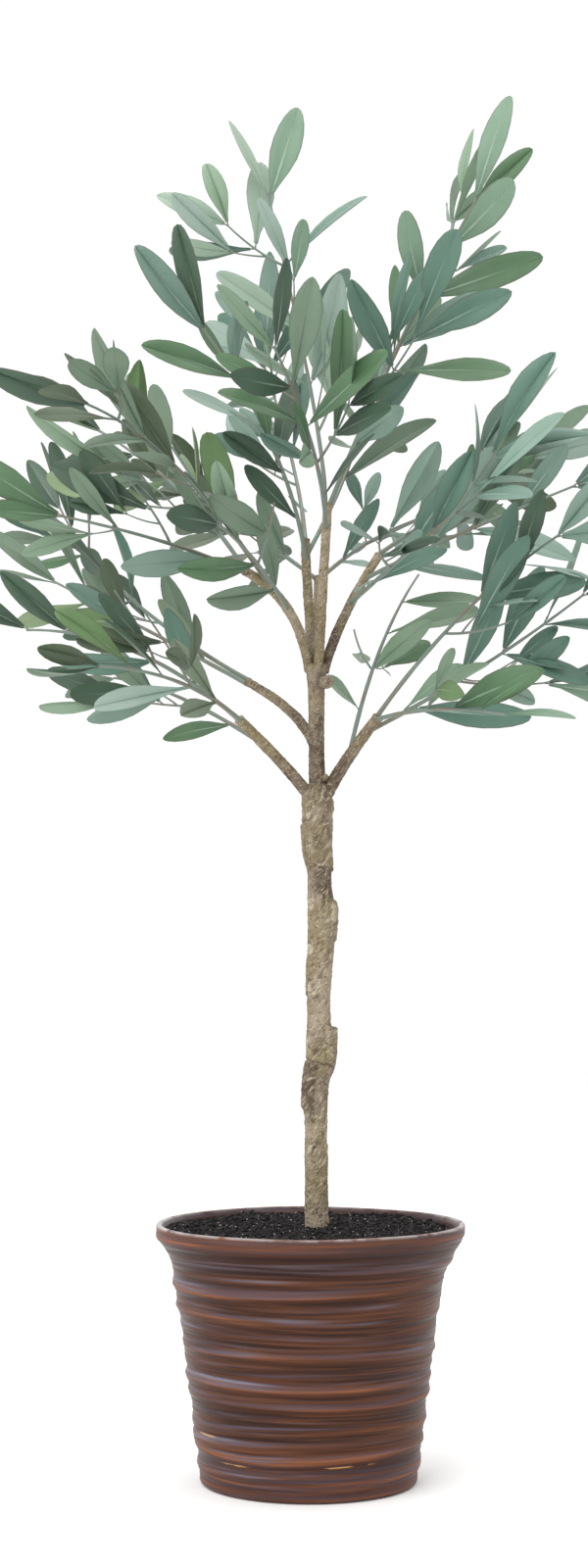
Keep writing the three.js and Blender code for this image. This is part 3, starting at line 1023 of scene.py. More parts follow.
@dataclass
class Pot:
    """The ribbed pot. Sizes and heights in millimetres, directions in radians.

    A pair of heights is where something begins and where it is whole, and the pairs to the lip
    are depths below it. The painted reflection on the glaze thickens by each veil, and fine thrown
    lines show in the glaze at both ends of the wall.
    """

    foot_radius: float = 93.0
    foot_round: float = 5.0
    shoulder_radius: float = 116.0
    shoulder_height: float = 182.0
    flare_top: float = 213.0
    taper_power: float = 1.15
    wall: float = 8.0
    floor: float = 10.0
    rim_thickness: float = 5.0
    rim_round: float = 1.6
    row: float = 1.0
    around: int = 192
    foot_steps: int = 5
    rim_steps: int = 8
    inner_rows: int = 16
    inner_power: float = 1.6
    ridge_out: float = 2.9
    groove_in: float = 1.3
    above: float = 5.4
    below: float = 4.2
    ridge_reach: float = 11.0
    ridges: tuple[Ridge, ...] = tuple(
        Ridge(*row)
        for row in (
            (13, 0.6, 0.4), (23, 0.6, 2.0), (34, 1.0, 1.0), (46, 0.7, 1.6), (58, 0.9, 2.1), (68, 0.3, 4.4),
            (79, 0.9, 2.9), (92, 0.95, 3.3), (106, 0.4, 4.0), (120, 1.0, 4.8), (133, 0.35, 5.1),
            (147, 1.0, 5.9), (158, 0.4, 0.2), (171, 0.95, 1.3), (181, 0.25, 3.0), (191, 0.85, 2.4),
            (208.5, 0.8, 3.6), (217.5, 0.45, 4.2),
        )
    )
    thrown: tuple[Layer, ...] = (
        Layer(0.6, (0.8, 0.8, 3.2)), Layer(0.4, (0.6, 0.6, 1.7), 3.0), Layer(0.7, (1.3, 1.3, 16.0), 5.0),
    )
    wobble: Layer = Layer(0.5, (0.8, 0.8, 60.0), 9.0)
    uneven_rim: Layer = Layer(0.7, (0.6, 0.6, 40.0), 2.0)
    patches: Layer = Layer(1.0, (0.7, 0.7, 26.0), 12.0)
    chips: tuple[Chip, ...] = (Chip(29.8, -131, 7), Chip(29.8, -71, 12), Chip(51.5, -151, 7))
    throws: float = 1.05
    thrown_ends: tuple[Pair, Pair] = ((200.0, 208.0), (32.0, 20.0))
    thrown_tone: float = 0.2
    pale_foot: Pair = (30.0, 16.0)
    veils: tuple[tuple[float, Pair], ...] = ((0.24, (203.0, 209.0)), (0.26, (36.0, 24.0)))
    ribs_from_foot: Pair = (1.0, 10.0)
    ribs_to_lip: Pair = (4.0, 12.0)
    uneven_to_lip: Pair = (9.0, 1.0)
    # The pale lip: worn all round, with painted highlights at the front and at both sides.
    pale_to_lip: Pair = (2.2, 0.6)
    worn_everywhere: float = 0.3
    front_highlight: float = 0.3
    side_highlight: float = 0.55
    pale_share: float = 0.2
    inner_shade: float = 0.5
    # The painted reflection: stronger towards the lit left front, never below its least share on the ribs,
    # and thinner on the inner wall.
    reflection_side: float = 0.45
    reflection_least: float = 0.3
    inner_reflection: float = 0.35
    reflection_towards: float = -2.6
    swell_towards: float = -0.15
    swell_width: float = 0.7
    swell_rise: Pair = (172.0, 192.0)
    swell_out: float = 3.4
    lip_radius: float = field(init=False)
    height: float = field(init=False)

    def __post_init__(self) -> None:
        """Takes the lip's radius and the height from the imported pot."""
        low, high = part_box("pot")
        self.lip_radius = (high.y - low.y) / 2 / MM
        self.height = high.z / MM

    def body_radius(self, height: Number) -> Number:
        """Works out the wall's outer radius, without its ribs.

        Args:
            height: Above the floor.

        Returns:
            The radius there.
        """
        rise = np.minimum(1.0, np.maximum(height, 0.0) / self.shoulder_height)
        taper = mix(self.foot_radius, self.shoulder_radius, rise**self.taper_power)
        flare = ramp(height, self.shoulder_height, self.flare_top)
        return taper + (self.lip_radius - self.shoulder_radius) * flare

    def outline(self) -> list[Pair]:
        """Draws the pot's section, up its outside and down its inside.

        Returns:
            The radius and height of each point.
        """
        wall_top = self.height - self.rim_round
        half_lip = self.rim_thickness / 2
        middle = self.lip_radius - half_lip
        points = [(0.0, 0.0), (self.foot_radius * 0.5, 0.0), (self.foot_radius - self.foot_round, 0.0)]
        for angle in np.linspace(0, math.pi / 2, self.foot_steps + 1)[1:]:
            back, up = self.foot_round * (1 - math.sin(angle)), self.foot_round * (1 - math.cos(angle))
            points.append((self.foot_radius - back, up))
        rows = int((wall_top - self.foot_round) / self.row)
        for height in np.linspace(self.foot_round, wall_top, rows + 1)[1:]:
            points.append((float(self.body_radius(height)), height))
        for angle in np.linspace(0, math.pi, self.rim_steps + 1)[1:-1]:
            points.append((middle + half_lip * math.cos(angle), wall_top + self.rim_round * math.sin(angle)))
        points.append((middle - half_lip, wall_top))
        for share in np.linspace(0, 1, self.inner_rows + 1)[1:]:
            height = mix(wall_top, self.floor, share**self.inner_power)
            points.append((float(self.body_radius(height)) - self.wall, height))
        return [*points, (0.0, self.floor)]

    def flow(self, angle: Array, height: Array) -> Array:
        """Straightens the ridges.

        Args:
            angle: Round the pot, in radians.
            height: Above the floor.

        Returns:
            The height that each place would have if the nearest ridges ran level.
        """
        near = [bell(height - ridge.height, self.ridge_reach) + 1e-6 for ridge in self.ridges]
        drifts = [weight * ridge.drift(angle) for weight, ridge in zip(near, self.ridges)]
        return height - sum(drifts) / sum(near)

    def relief(self, angle: Array, height: Array) -> Array:
        """Returns how far the thrown ribs stand out at each place, in millimetres.

        Args:
            angle: Round the pot, in radians.
            height: Above the floor, in millimetres.

        Returns:
            The relief, from grooves below the wall to ridges above it.
        """
        total = np.full(len(angle), -self.groove_in)
        for ridge in self.ridges:
            away = height - ridge.height - ridge.drift(angle)
            fade = 0.68 + 0.32 * np.sin(angle + 3.1 * ridge.wander)
            width = np.where(away > 0, self.above, self.below)
            total += ridge.strength * fade * self.ridge_out * bell(away, width)
        return total + layered(on_ring(angle, self.flow(angle, height)), self.thrown)

    def near_lip(self, height: Array, depths: Pair) -> Array:
        """Returns 0 at the first depth below the lip, 1 at the second, and an eased share between."""
        return ramp(height, self.height - depths[0], self.height - depths[1])

    def make(self) -> None:
        """Makes the pot, and keeps on its mesh what the glaze is painted by."""
        mesh = turned_mesh(self.outline(), self.around)
        points = places(mesh)
        radius, angle, height = polar(points / MM)
        ring, wall = on_ring(angle, height), self.body_radius(height)
        outside = radius > wall - self.rim_thickness - 1.0
        inside = 1.0 * (radius < wall - self.wall / 2)
        fade = ramp(height, *self.ribs_from_foot) * self.near_lip(height, self.ribs_to_lip) * outside
        relief = self.relief(angle, height)
        self.shape(mesh, points, relief * fade, outside)
        thrown = np.sin(height / self.throws + 1.6 * np.sin(2 * angle + 0.7))
        ends = sum(ramp(height, *end) for end in self.thrown_ends) * outside
        # Glaze level for colour: low in the grooves and inside for painted shade, high on the crests, partly
        # painted highlight.
        share = np.clip((relief + self.groove_in) / (self.ridge_out + 0.6), 0, 1)
        level = mix(0.5, share, fade) + self.thrown_tone * thrown * ends
        level += self.pale_share * ramp(height, *self.pale_foot) - self.inner_shade * inside
        # Painted reflection on the ribs' upper slopes, stronger towards the lit left front, as a veil near
        # the lip and the foot, and thinner on the inner wall.
        recede = self.relief(angle, height - 1.0) - self.relief(angle, height + 1.0)
        patches = self.patches.at(ring) + self.reflection_side * np.cos(angle - self.reflection_towards)
        film = ease(recede + 0.1) * fade * mix(self.reflection_least, 1.0, ease(0.4 + 1.2 * patches))
        veil = sum(share * ramp(height, *heights) for share, heights in self.veils)
        film = np.maximum(film, outside * veil * (1 - 0.6 * thrown))
        # Pale lip: worn all round, with painted highlights at the front and at both sides.
        worn = self.worn_everywhere + self.front_highlight * ease(0.5 - 0.8 * np.sin(angle + 0.35))
        worn += self.side_highlight * np.cos(angle) ** 8
        rim = self.near_lip(height, self.pale_to_lip) * (radius > self.lip_radius - 9.0)
        set_values(
            mesh,
            relief=level,
            film=np.maximum(film, self.inner_reflection * inside),
            flow=self.flow(angle, height) * MM,
            chipped=sum(chip.cover(angle, height) for chip in self.chips),
            worn=np.minimum(worn, 1.0) * rim,
        )
        mesh.set_sharp_from_angle(angle=math.radians(75))
        add_piece(mesh, "ribbed_pot", [GlazeFinish().material()], ["pot"])

    def shape(self, mesh: Mesh, points: Array, ribs: Array, outside: Array) -> None:
        """Gives the pot its ribs, its wobble, the swell under its lip and an uneven rim.

        Args:
            mesh: The turned pot.
            points: Its vertices, in metres.
            ribs: How far the ribs stand out at each, in millimetres.
            outside: Which of them are on the outside.
        """
        radius, angle, height = polar(points / MM)
        ring = on_ring(angle, height)
        swell = bell(signed(angle, self.swell_towards), self.swell_width) * ramp(height, *self.swell_rise)
        wobble = self.wobble.at(ring) * ease(height / 20.0) + self.swell_out * swell
        lip = self.near_lip(height, self.uneven_to_lip) * outside
        moved = points.copy()
        moved[:, :2] *= (1 + (ribs + wobble) / np.maximum(radius, 20.0))[:, None]
        moved[:, 2] += MM * lip * self.uneven_rim.at(ring)
        set_places(mesh, moved)


@dataclass
class Soil:
    """The loose soil, a lumpy plug with crumbs and pale specks on it. Sizes in millimetres.

    Each mound is its middle to the side and to the back, its radius and its rise.
    """

    pot: Pot
    clearance: float = 0.6
    edge_height: float = 213.0
    crown_height: float = 216.0
    slope_radius: float = 62.0
    crown_radius: float = 26.0
    rings: int = 74
    around: int = 200
    crumbs: int = 3600
    specks: int = 420
    wall_heights: Triple = (60.0, 120.0, 170.0)
    margin: float = 2.5
    sunk: Pair = (-0.2, 0.5)
    crumb_size: Pair = (0.7, 2.0)
    speck_size: Pair = (0.35, 0.75)
    wide: Pair = (0.6, 1.2)
    tall: Pair = (0.5, 0.9)
    mounds: tuple[tuple[float, ...], ...] = (
        (-46.0, 84.0, 26.0, 3.0),
        (64.0, 76.0, 28.0, 3.0),
        (-104.0, 14.0, 24.0, 2.4),
        (98.0, -6.0, 30.0, -1.6),
    )
    lumps: tuple[Layer, ...] = (
        Layer(2.2, 15.0), Layer(1.6, 7.0, 3.0), Layer(0.8, 3.2, 7.0, True), Layer(0.5, 1.7, 11.0),
    )

    def surface(self, across: Array) -> Array:
        """Works out the soil's height, with its mounds and lumps.

        Args:
            across: Places across the pot.

        Returns:
            The height at each.
        """
        edge = self.pot.body_radius(self.edge_height) - self.pot.wall
        heights = [self.crown_height, self.crown_height - 2.0, self.edge_height + 1.0]
        height = np.interp(np.hypot(*across.T), [self.crown_radius, self.slope_radius, edge], heights)
        for side, back, radius, rise in self.mounds:
            height = height + rise * bell(np.hypot(*(across - (side, back)).T), radius)
        return height + layered(np.column_stack([across, np.zeros(len(across))]), self.lumps)

    def make(self) -> None:
        """Makes the soil."""
        low = self.pot.floor + self.clearance
        outline = [(0.0, low)]
        for height in (self.pot.floor, *self.wall_heights, self.edge_height - 4):
            outline.append((self.wall_radius(height), max(height, low)))
        edge = self.wall_radius(self.edge_height)
        outline += [(edge * step / self.rings, self.edge_height) for step in range(self.rings, 0, -1)]
        mesh = turned_mesh([*outline, (0.0, self.crown_height)], self.around)
        points = places(mesh) / MM
        top = points[:, 2] > self.edge_height - 1
        points[top, 2] = self.surface(points[top, :2])
        heap = Heap()
        heap.add(Pattern.of(mesh), points, [0])
        self.scatter(heap, edge)
        finishes = [SoilFinish().material(), SpeckFinish().material()]
        add_piece(heap.mesh(180.0), "loose_soil", finishes, ["soil"])

    def wall_radius(self, height: float) -> float:
        """Returns the soil's radius against the inside of the pot."""
        return float(self.pot.body_radius(height)) - self.pot.wall - self.clearance

    def scatter(self, heap: Heap, edge: float) -> None:
        """Scatters crumbs and specks, half sunk in the surface.

        Args:
            heap: Takes the crumbs.
            edge: The radius of the soil's edge.
        """
        bm = bmesh.new()
        bmesh.ops.create_icosphere(bm, subdivisions=1, radius=1.0)
        crumb = Pattern.of(mesh_of(bm))
        dice = Dice(LOOK_SEED)
        for index in range(self.crumbs):
            is_speck = index < self.specks
            radius, angle = (edge - self.margin) * math.sqrt(dice.roll()), dice.between(0, FULL_TURN)
            across = np.array([[radius * math.cos(angle), radius * math.sin(angle)]])
            size = dice.between(*(self.speck_size if is_speck else self.crumb_size))
            limits = (self.wide, self.wide, self.tall)
            shape = np.array([dice.between(*pair) for pair in limits]) * size
            centre = np.array([*across[0], self.surface(across)[0] + size * dice.between(*self.sunk)])
            turn = np.array(Matrix.Rotation(dice.between(0, FULL_TURN), 3, "Z"))
            heap.add(crumb, (crumb.points * shape) @ turn.T + centre, [int(is_speck)])


# Bark


@dataclass(frozen=True)
class Lap:
    """A sheet of bark that laps over the wrap: heights and lifts in millimetres, angles in degrees.

    The angle runs from the viewer's right towards the back, so -90 faces the viewer. The sheet
    stands off by its lifts at its lower and upper end, and each end is as soft as its ease says.
    A painted shadow line runs along its crisp ends and its flanks.
    """

    heights: Pair
    angle: float
    spread: float
    lifts: Pair
    eases: Pair = (1.5, 1.5)
    slope: float = 0.0
    brown: float = 0.0
    edge: float = 10.0
    crisp: float = 1.3
    # Widths of the painted shadow lines along the crisp ends and along the flanks.
    edge_shadow_width: float = 1.2
    flank_shadow_width: float = 5.0

    def cover(self, angle: Array, height: Array, ragged: Array) -> tuple[Array, Array, Array]:
        """Works out where the sheet covers the wrap.

        Args:
            angle: Round the trunk, in degrees.
            height: Above the floor, in millimetres.
            ragged: How far the sheet's edges stray up, in millimetres.

        Returns:
            How far each place is under the sheet from 0 to 1, how far it is lifted, and its painted
            shadow line, strongest at one of the crisp edges and along the flanks.
        """
        low, high = self.heights
        past = signed(angle, self.angle, 360.0)
        height, past_middle = height + self.slope * past / 60.0 + ragged, np.abs(past)
        aside = ramp(past_middle, self.spread, self.spread - self.edge)
        upright = ramp(height, low, low + self.eases[0]) * ramp(height, high, high - self.eases[1])
        crisp = [min(1.0, self.crisp / soft) for soft in self.eases]
        # Painted shadow lines along the crisp ends and the flanks.
        ends = [share * bell(height - end, self.edge_shadow_width) for share, end in zip(crisp, self.heights)]
        flank_shadows = 0.5 * bell(past_middle - self.spread, self.flank_shadow_width) * upright
        lift = mix(*self.lifts, np.clip((height - low) / (high - low), 0, 1)) * aside * upright
        return aside * upright, lift, np.maximum(np.maximum(*ends) * aside, flank_shadows)


@dataclass
class Trunk:
    """The wrapped trunk. Each ring is a height, a side step and a radius in millimetres.

    The seam of the wrap swings about an angle by so many degrees, slower the larger the third
    number is. Each brown zone is its share and the heights where it comes and where it goes.
    """

    rings: tuple[Triple, ...] = (
        (216.3, 6.7, 10.8), (300.0, 6.2, 10.4), (330.0, 5.6, 11.2), (364.0, 9.2, 12.0), (402.0, 8.4, 10.5),
        (480.0, 11.0, 12.8), (512.0, 9.2, 11.0), (540.0, 7.2, 13.0), (586.0, 7.2, 14.0),
    )
    back: float = 1.0
    settle: float = 0.8
    sink: float = 6.0
    dome: float = 8.0
    dome_below: float = 4.0
    dome_share: float = 0.93
    tone: Pair = (0.48, 1.3)
    row: float = 0.9
    around: int = 120
    folds: tuple[Layer, ...] = (
        Layer(0.9, (12.0, 12.0, 4.4), 4.0, True),
        Layer(-0.8, (8.0, 8.0, 6.0), 0.0, True),
    )
    crinkle: Layer = Layer(0.36, (3.2, 3.2, 2.0), 8.0)
    swells: Layer = Layer(0.5, (9.0, 9.0, 22.0))
    slant: Layer = Layer(7.0, (9.0, 9.0, 13.0), 40.0)
    calm: Layer = Layer(1.6, (11.0, 11.0, 16.0), 50.0)
    stain: Layer = Layer(1.0, (12.0, 12.0, 30.0), 15.0)
    ragged: Layer = Layer(1.2, (5.0, 5.0, 30.0), 20.0)
    lean: Pair = (0.8, 0.3)
    seam: Triple = (30.0, 70.0, 95.0)
    seam_lift: float = 0.7
    seam_width: float = 34.0
    plain_foot: Pair = (310.0, 290.0)
    zones: tuple[tuple[float, Pair, Pair], ...] = (
        (0.3, (300.0, 316.0), (354.0, 346.0)),
        (0.25, (486.0, 498.0), (620.0, 610.0)),
        (0.3, (572.0, 592.0), (620.0, 610.0)),
    )
    laps: tuple[Lap, ...] = (
        Lap((338, 386), -8, 58, (1.6, 5.0), (14, 0.9), 3, 0.35, 22),
        Lap((356, 384), -96, 74, (1.6, 0.6), (0.8, 8), 3, 0.15),
        Lap((314, 356), -154, 66, (2.0, 1.2), (5, 1.0), 2, 1.0),
        Lap((458, 494), -4, 50, (1.5, 2.4), (2.5, 1.6), 3, 0.1, 30),
        Lap((490, 521), -52, 66, (-0.7, -1.0), (9, 0.8), 3, 1.0),
        Lap((521, 559), -165, 66, (0.3, 1.7), (6, 1.2), -5),
        Lap((521, 545), -50, 56, (1.5, 0.2), (0.7, 10), 3),
        Lap((566, 580), -20, 60, (0.8, 1.4), (5, 2), 2),
        Lap((420, 452), 120, 70, (1.6, 1.0), slope=8, brown=0.3),
        Lap((250, 292), 70, 60, (0.4, 1.3), slope=-6, brown=0.4),
        Lap((216, 226), 30, 70, (0.9, 0.3), (1, 6), 3),
    )

    def line(self) -> Array:
        """Returns the trunk's centre line through its rings, in millimetres."""
        return np.array([[side, self.back, height] for height, side, _ in self.rings])

    def thickest(self) -> float:
        """Returns the largest radius."""
        return max(radius for _, _, radius in self.rings)

    def at(self, height: Array, column: int) -> Array:
        """Reads the rings, eased between one and the next.

        Args:
            height: Above the floor.
            column: 1 for the side step or 2 for the radius.

        Returns:
            Its value at each height.
        """
        table = np.array(self.rings)
        above = np.clip(np.searchsorted(table[:, 0], height), 1, len(table) - 1)
        low, high = table[above - 1], table[above]
        return mix(low[:, column], high[:, column], ramp(height, low[:, 0], high[:, 0]))

    def relief(self, turn: Array, height: Array) -> tuple[Array, Array, Array]:
        """Works out the wrap's relief, where it is brown and where painted shadow lines lie along the laps.

        Args:
            turn: Round the trunk, in radians.
            height: Above the floor, in millimetres.

        Returns:
            How far the bark stands out in millimetres, its brownness from 0 to 1 with painted shadow
            lines along the laps' edges laid in, and its fine wrinkles alone.
        """
        angle, ring = np.degrees(turn), on_ring(turn, height, 11.0)
        slanted = ring.copy()
        slanted[:, 2] += self.slant.at(ring) - ring[:, 0] * self.lean[0] - ring[:, 1] * self.lean[1]
        fine = layered(slanted, self.folds) * mix(0.3, 1.1, ease(0.5 + self.calm.at(ring)))
        fine += self.crinkle.at(slanted)
        middle, swing, rise = self.seam
        past_seam = (angle - middle - swing * np.sin(height / rise)) % 360.0
        out = self.swells.at(ring) + fine + self.seam_lift * np.exp(-past_seam / self.seam_width)
        brown = 0.1 + 0.3 * ramp(self.stain.at(ring), 0.15, 0.45)
        brown *= 1 - 0.9 * ramp(height, *self.plain_foot)
        for share, comes, goes in self.zones:
            brown += share * ramp(height, *comes) * ramp(height, *goes)
        ragged = self.ragged.at(ring)
        for lap in self.laps:
            # Each lap adds its lift, its own brown and a painted shadow line along its edges.
            under, lift, rim = lap.cover(angle, height, ragged)
            out += lift
            brown = np.maximum(np.maximum(brown, lap.brown * under), rim)
        return out, np.clip(brown, 0, 1), fine

    def make(self, finish: Material) -> None:
        """Makes the trunk, from inside the soil to the dome under the boughs.

        Args:
            finish: The bark's material.
        """
        bottom, last = self.rings[0][0] - self.sink, self.rings[-1][0]
        top = last + self.dome
        mesh = rod(self.around, int((top - bottom) / self.row))
        _, turn, share = polar(places(mesh))
        height = mix(bottom, top, share)
        out, brown, fine = self.relief(turn, height)
        past = np.clip((height - last + self.dome_below) / (self.dome + self.dome_below), 0, 1)
        radius = self.at(height, 2) + out - self.settle
        radius *= np.sqrt(1 - (past * self.dome_share) ** 2)
        points = on_ring(turn, height, radius)
        points[:, 0] += self.at(height, 1)
        points[:, 1] += self.back
        set_places(mesh, points * MM)
        # The fine wrinkles, kept as height, set the bark's painted shade in the hollows and painted
        # highlight on the fold tops.
        set_values(mesh, brown=brown, height=self.tone[0] + self.tone[1] * fine, cut=0.0)
        add_piece(mesh, "trunk_bark", [finish], ["trunk"])


@dataclass(frozen=True)
class LimbPlan:
    """One limb above the fork: foot, bend and tip, the radii and brownness of its ends, and its flare."""

    foot: Triple
    bend: Triple
    tip: Triple
    radii: Pair
    browns: Pair
    flare: float = 1.0

    def curve(self) -> Bend:
        """Returns the limb's centre line."""
        return Bend.through(self.foot, self.bend, self.tip)


LIMBS: dict[str, LimbPlan] = {
    "leader": LimbPlan((7, 2, 580), (6.6, 2, 636), (6.4, 2, 694), (6.9, 10.2), (1.15, 0.35), 9),
    "bough_lower_left": LimbPlan((3, 1, 580), (-29, -12, 616), (-59, -28, 645), (5.4, 4.3), (0.75, 0.1)),
    "bough_lower_right": LimbPlan((13, 2, 580), (34, -6, 615), (58, -24, 647), (6.0, 4.5), (1.0, 0.5)),
    "bough_mid_left": LimbPlan((5, 3, 626), (-16, 18, 656), (-53, 44, 684), (4.8, 3.8), (0.8, 0.4)),
    "bough_back": LimbPlan((7, 4, 640), (8, 50, 710), (9, 112, 784), (4.8, 3.8), (0.4, 0.4)),
    "bough_upper_left": LimbPlan((0.8, 1, 688), (-17, -14, 738), (-54, -32, 769), (4.6, 3.8), (0.3, -0.25)),
    "bough_upper_cut": LimbPlan((4, 7, 688), (0, 14, 748), (-3, 22, 804), (4.4, 4.0), (0.1, 0.3)),
    "bough_upper_centre": LimbPlan((8, -4, 688), (12, -9, 760), (16, -12, 829), (4.4, 4.0), (0.25, -0.2)),
    "bough_upper_right": LimbPlan((12.5, 3, 688), (31, 14, 738), (61, 32, 792), (4.6, 3.9), (1.15, 0.05)),
}


@dataclass
class Limb:
    """A bark sleeve along a limb, with a wound edge and a pale cut end. Sizes in millimetres.

    Each scar of the leader is its place, the way it faces and its size. Their outline is the
    radius and height of a healed button.
    """

    name: str
    plan: LimbPlan
    row: float = 0.8
    around: int = 44
    end_rows: int = 5
    lip: float = 0.35
    hollow: float = 0.8
    settle: float = 0.2
    wrinkles: tuple[Layer, ...] = (Layer(0.5, (2.8, 2.8, 5.0), 3.0, True), Layer(0.28, (1.5, 1.5, 1.8), 6.0))
    swells: Layer = Layer(0.3, (6.0, 6.0, 18.0))
    chipped: Layer = Layer(0.25, 2.2)
    patches: Layer = Layer(1.0, (5.0, 5.0, 22.0), 31.0)
    patch_share: float = 0.45
    cut_share: float = 0.85
    tone: Pair = (0.45, 0.6)
    seam_twist: float = 4.5
    seam_step: float = 40.0
    seam_lift: float = 0.32
    seam_width: float = 50.0
    scars: tuple[tuple[Triple, Triple, float], ...] = (
        ((14.6, -5.0, 678.5), (0.62, -0.78, 0.04), 5.6),
        ((13.9, -1.5, 598), (0.5, -0.3, 0.8), 2.8),
    )
    button: tuple[Pair, ...] = (
        (0, 1.1), (0.25, 1.15), (0.4, 0.8), (0.62, 0.95),
        (0.84, 0.85), (1, 0.45), (1.02, 0), (0.9, -1.4), (0, -1.4),
    )

    def relief(self, ring: Array, turn: Array, length: float) -> tuple[Array, Array]:
        """Works out how far the sleeve stands out, in millimetres.

        Args:
            ring: Places round and along the limb, for the noise.
            turn: Round the limb, in radians.
            length: The limb's length.

        Returns:
            The relief of wrinkles, the wound edge of the sheet and the lip at the cut end, and the
            fine wrinkles alone.
        """
        shift, height = float(len(self.name) * 3 + self.plan.foot[2] % 7), ring[:, 2]
        fine = layered(ring, self.wrinkles, shift) - 0.1
        past_seam = (np.degrees(turn) - height * self.seam_twist - self.seam_step * shift) % 360.0
        out = fine + self.swells.at(ring, shift) + self.seam_lift * np.exp(-past_seam / self.seam_width)
        return out + self.lip * ramp(height, length - 2.5, length - 1.0), fine

    def make(self, finish: Material) -> None:
        """Makes the limb.

        Args:
            finish: The bark's material.
        """
        curve = self.plan.curve()
        length = curve.length()
        steps = int(length / self.row)
        mesh = rod(self.around, steps + self.end_rows)
        points = places(mesh)
        _, turn, share = polar(points)
        row = np.rint(share * (steps + self.end_rows))
        inward = np.maximum(row - steps, 0) / self.end_rows
        t = np.minimum(row / steps, 1.0)
        ring = on_ring(turn, t * length, 5.0)
        out, fine = self.relief(ring, turn, length)
        sleeve = mix(*self.plan.radii, t**self.plan.flare) + out - self.settle
        radius = np.where(t < 1.0, sleeve, (self.plan.radii[1] + self.lip) * (1 - 0.9 * inward))
        sink = self.hollow * ease(inward * 1.6) + self.chipped.at(ring) * (inward > 0)
        set_places(mesh, bent_rod(points, curve, t, radius, sink) * MM)
        patch = self.patch_share * ramp(self.patches.at(ring), 0.1, 0.45)
        brown = mix(*self.plan.browns, ease(t * 1.6 - 0.3))
        brown = np.clip(brown + patch * (0.4 + brown), 0, 1)
        # The fine wrinkles, kept as height, set the bark's painted shade in the hollows and painted
        # highlight on the fold tops.
        tone = self.tone[0] + self.tone[1] * fine
        set_values(mesh, brown=brown, height=tone, cut=self.cut_share * (inward > 0.1))
        if self.name == "leader":
            mesh = self.with_scars(mesh)
        add_piece(mesh, self.name + "_bark", [finish], [self.name])

    def with_scars(self, bark: Mesh) -> Mesh:
        """Adds the healed knob and the small stub on the leader's right.

        Args:
            bark: The leader's bark.

        Returns:
            The bark and its scars as one mesh.
        """
        bm = bmesh.new()
        bm.from_mesh(bark)
        for place, way, size in self.scars:
            scar = turned_mesh(list(self.button), 20, size)
            set_values(scar, brown=0.45, height=0.45)
            scar.transform(Vector(way).to_track_quat("Z", "Y").to_matrix().to_4x4())
            scar.transform(Matrix.Translation(Vector(place) * MM))
            bm.from_mesh(scar)
        return mesh_of(bm)


# Growth rule


@dataclass(frozen=True)
class SproutPlan:
    """How stems, twigs or the finer shoots grow. Lengths in millimetres, angles in degrees."""

    radii: Pair
    first_pair: float
    fewest_pairs: int
    length: Pair = (0.0, 0.0)
    angle: Pair = (0.0, 0.0)
    shrink: Pair = (1.1, 0.6)
    straight: float = 0.94
    turn_back: float = 0.12
    turn: Pair = (-35.0, 35.0)
    leaf_share: float = 1.0


STEM = SproutPlan((2.1, 1.0), 0.2, 2)
TWIG = SproutPlan((1.25, 0.8), 0.5, 1, length=(64, 96), angle=(32, 52))
SHOOT = SproutPlan((0.9, 0.6), 0.55, 0, length=(26, 42), angle=(30, 62), leaf_share=0.72)


@dataclass(frozen=True)
class Growth:
    """What the whole crown shares. Lengths in millimetres, angles in degrees."""

    stem_steps: int = 7
    limb_steps: int = 8
    spread: float = 2.6
    twig_every: int = 3
    twig_marks: Triple = (0.4, 0.7, 1.0)
    shoots_at: Pair = (0.42, 0.74)
    shoots_turn: Pair = (50, 130)
    twig_shoot_at: float = 0.3
    twig_shoot_turn: Pair = (-70, 70)
    leaf_length: float = 88.0
    leaf_share: Pair = (0.72, 1.18)
    slimness: float = 0.27
    leaf_angle: Pair = (28.0, 60.0)
    tip_angles: tuple[Pair, Pair] = ((6.0, 20.0), (12.0, 38.0))
    roll: Pair = (-36.0, 36.0)
    droop: float = 0.06
    leaf_marks: tuple[Pair, ...] = ((0.14, 0.3), (0.3, 0.6), (0.54, 1.0), (0.78, 0.75), (1.0, 0.36))
    lowest: float = -0.25
    pair_step: float = 42.0
    pair_turn: Pair = (-40.0, 40.0)
    last_pair: float = 0.985
    face_side: Pair = (-0.7, 0.7)
    face_lift: Pair = (-0.2, 1.0)
    back_from: float = 50.0
    tries: int = 5
    space_margin: float = 4.0
    limb_margin: float = 3.0


RULE = Growth()


class Tint(Enum):
    """The leaves' plain colours: the upper side, its foot and the underside."""

    PINE = ("3a5340", "25352a", "697c68")
    FERN = ("51714f", "334b38", "7a907a")
    OLIVE = ("4d5d45", "323e2d", "6e7b67")
    TEAL = ("547465", "334e44", "7d9487")
    SEA = ("678174", "436055", "8b9d92")
    SAGE = ("718b75", "4b6752", "8d9f8e")
    MOSS = ("5a774b", "3b5230", "788a69")


@dataclass(frozen=True)
class SprayPlan:
    """Where a spray leaves its bough, the bend and tip of its stem in millimetres, and its tints.

    The first tint is the commonest in the spray and the last the rarest. A share of its leaves is
    turned, so that their undersides face outwards, and more of them at the back of the crown.
    """

    bough: str
    at: float
    bend: Triple
    tip: Triple
    tints: tuple[Tint, Tint, Tint]
    turned: float = 0.22


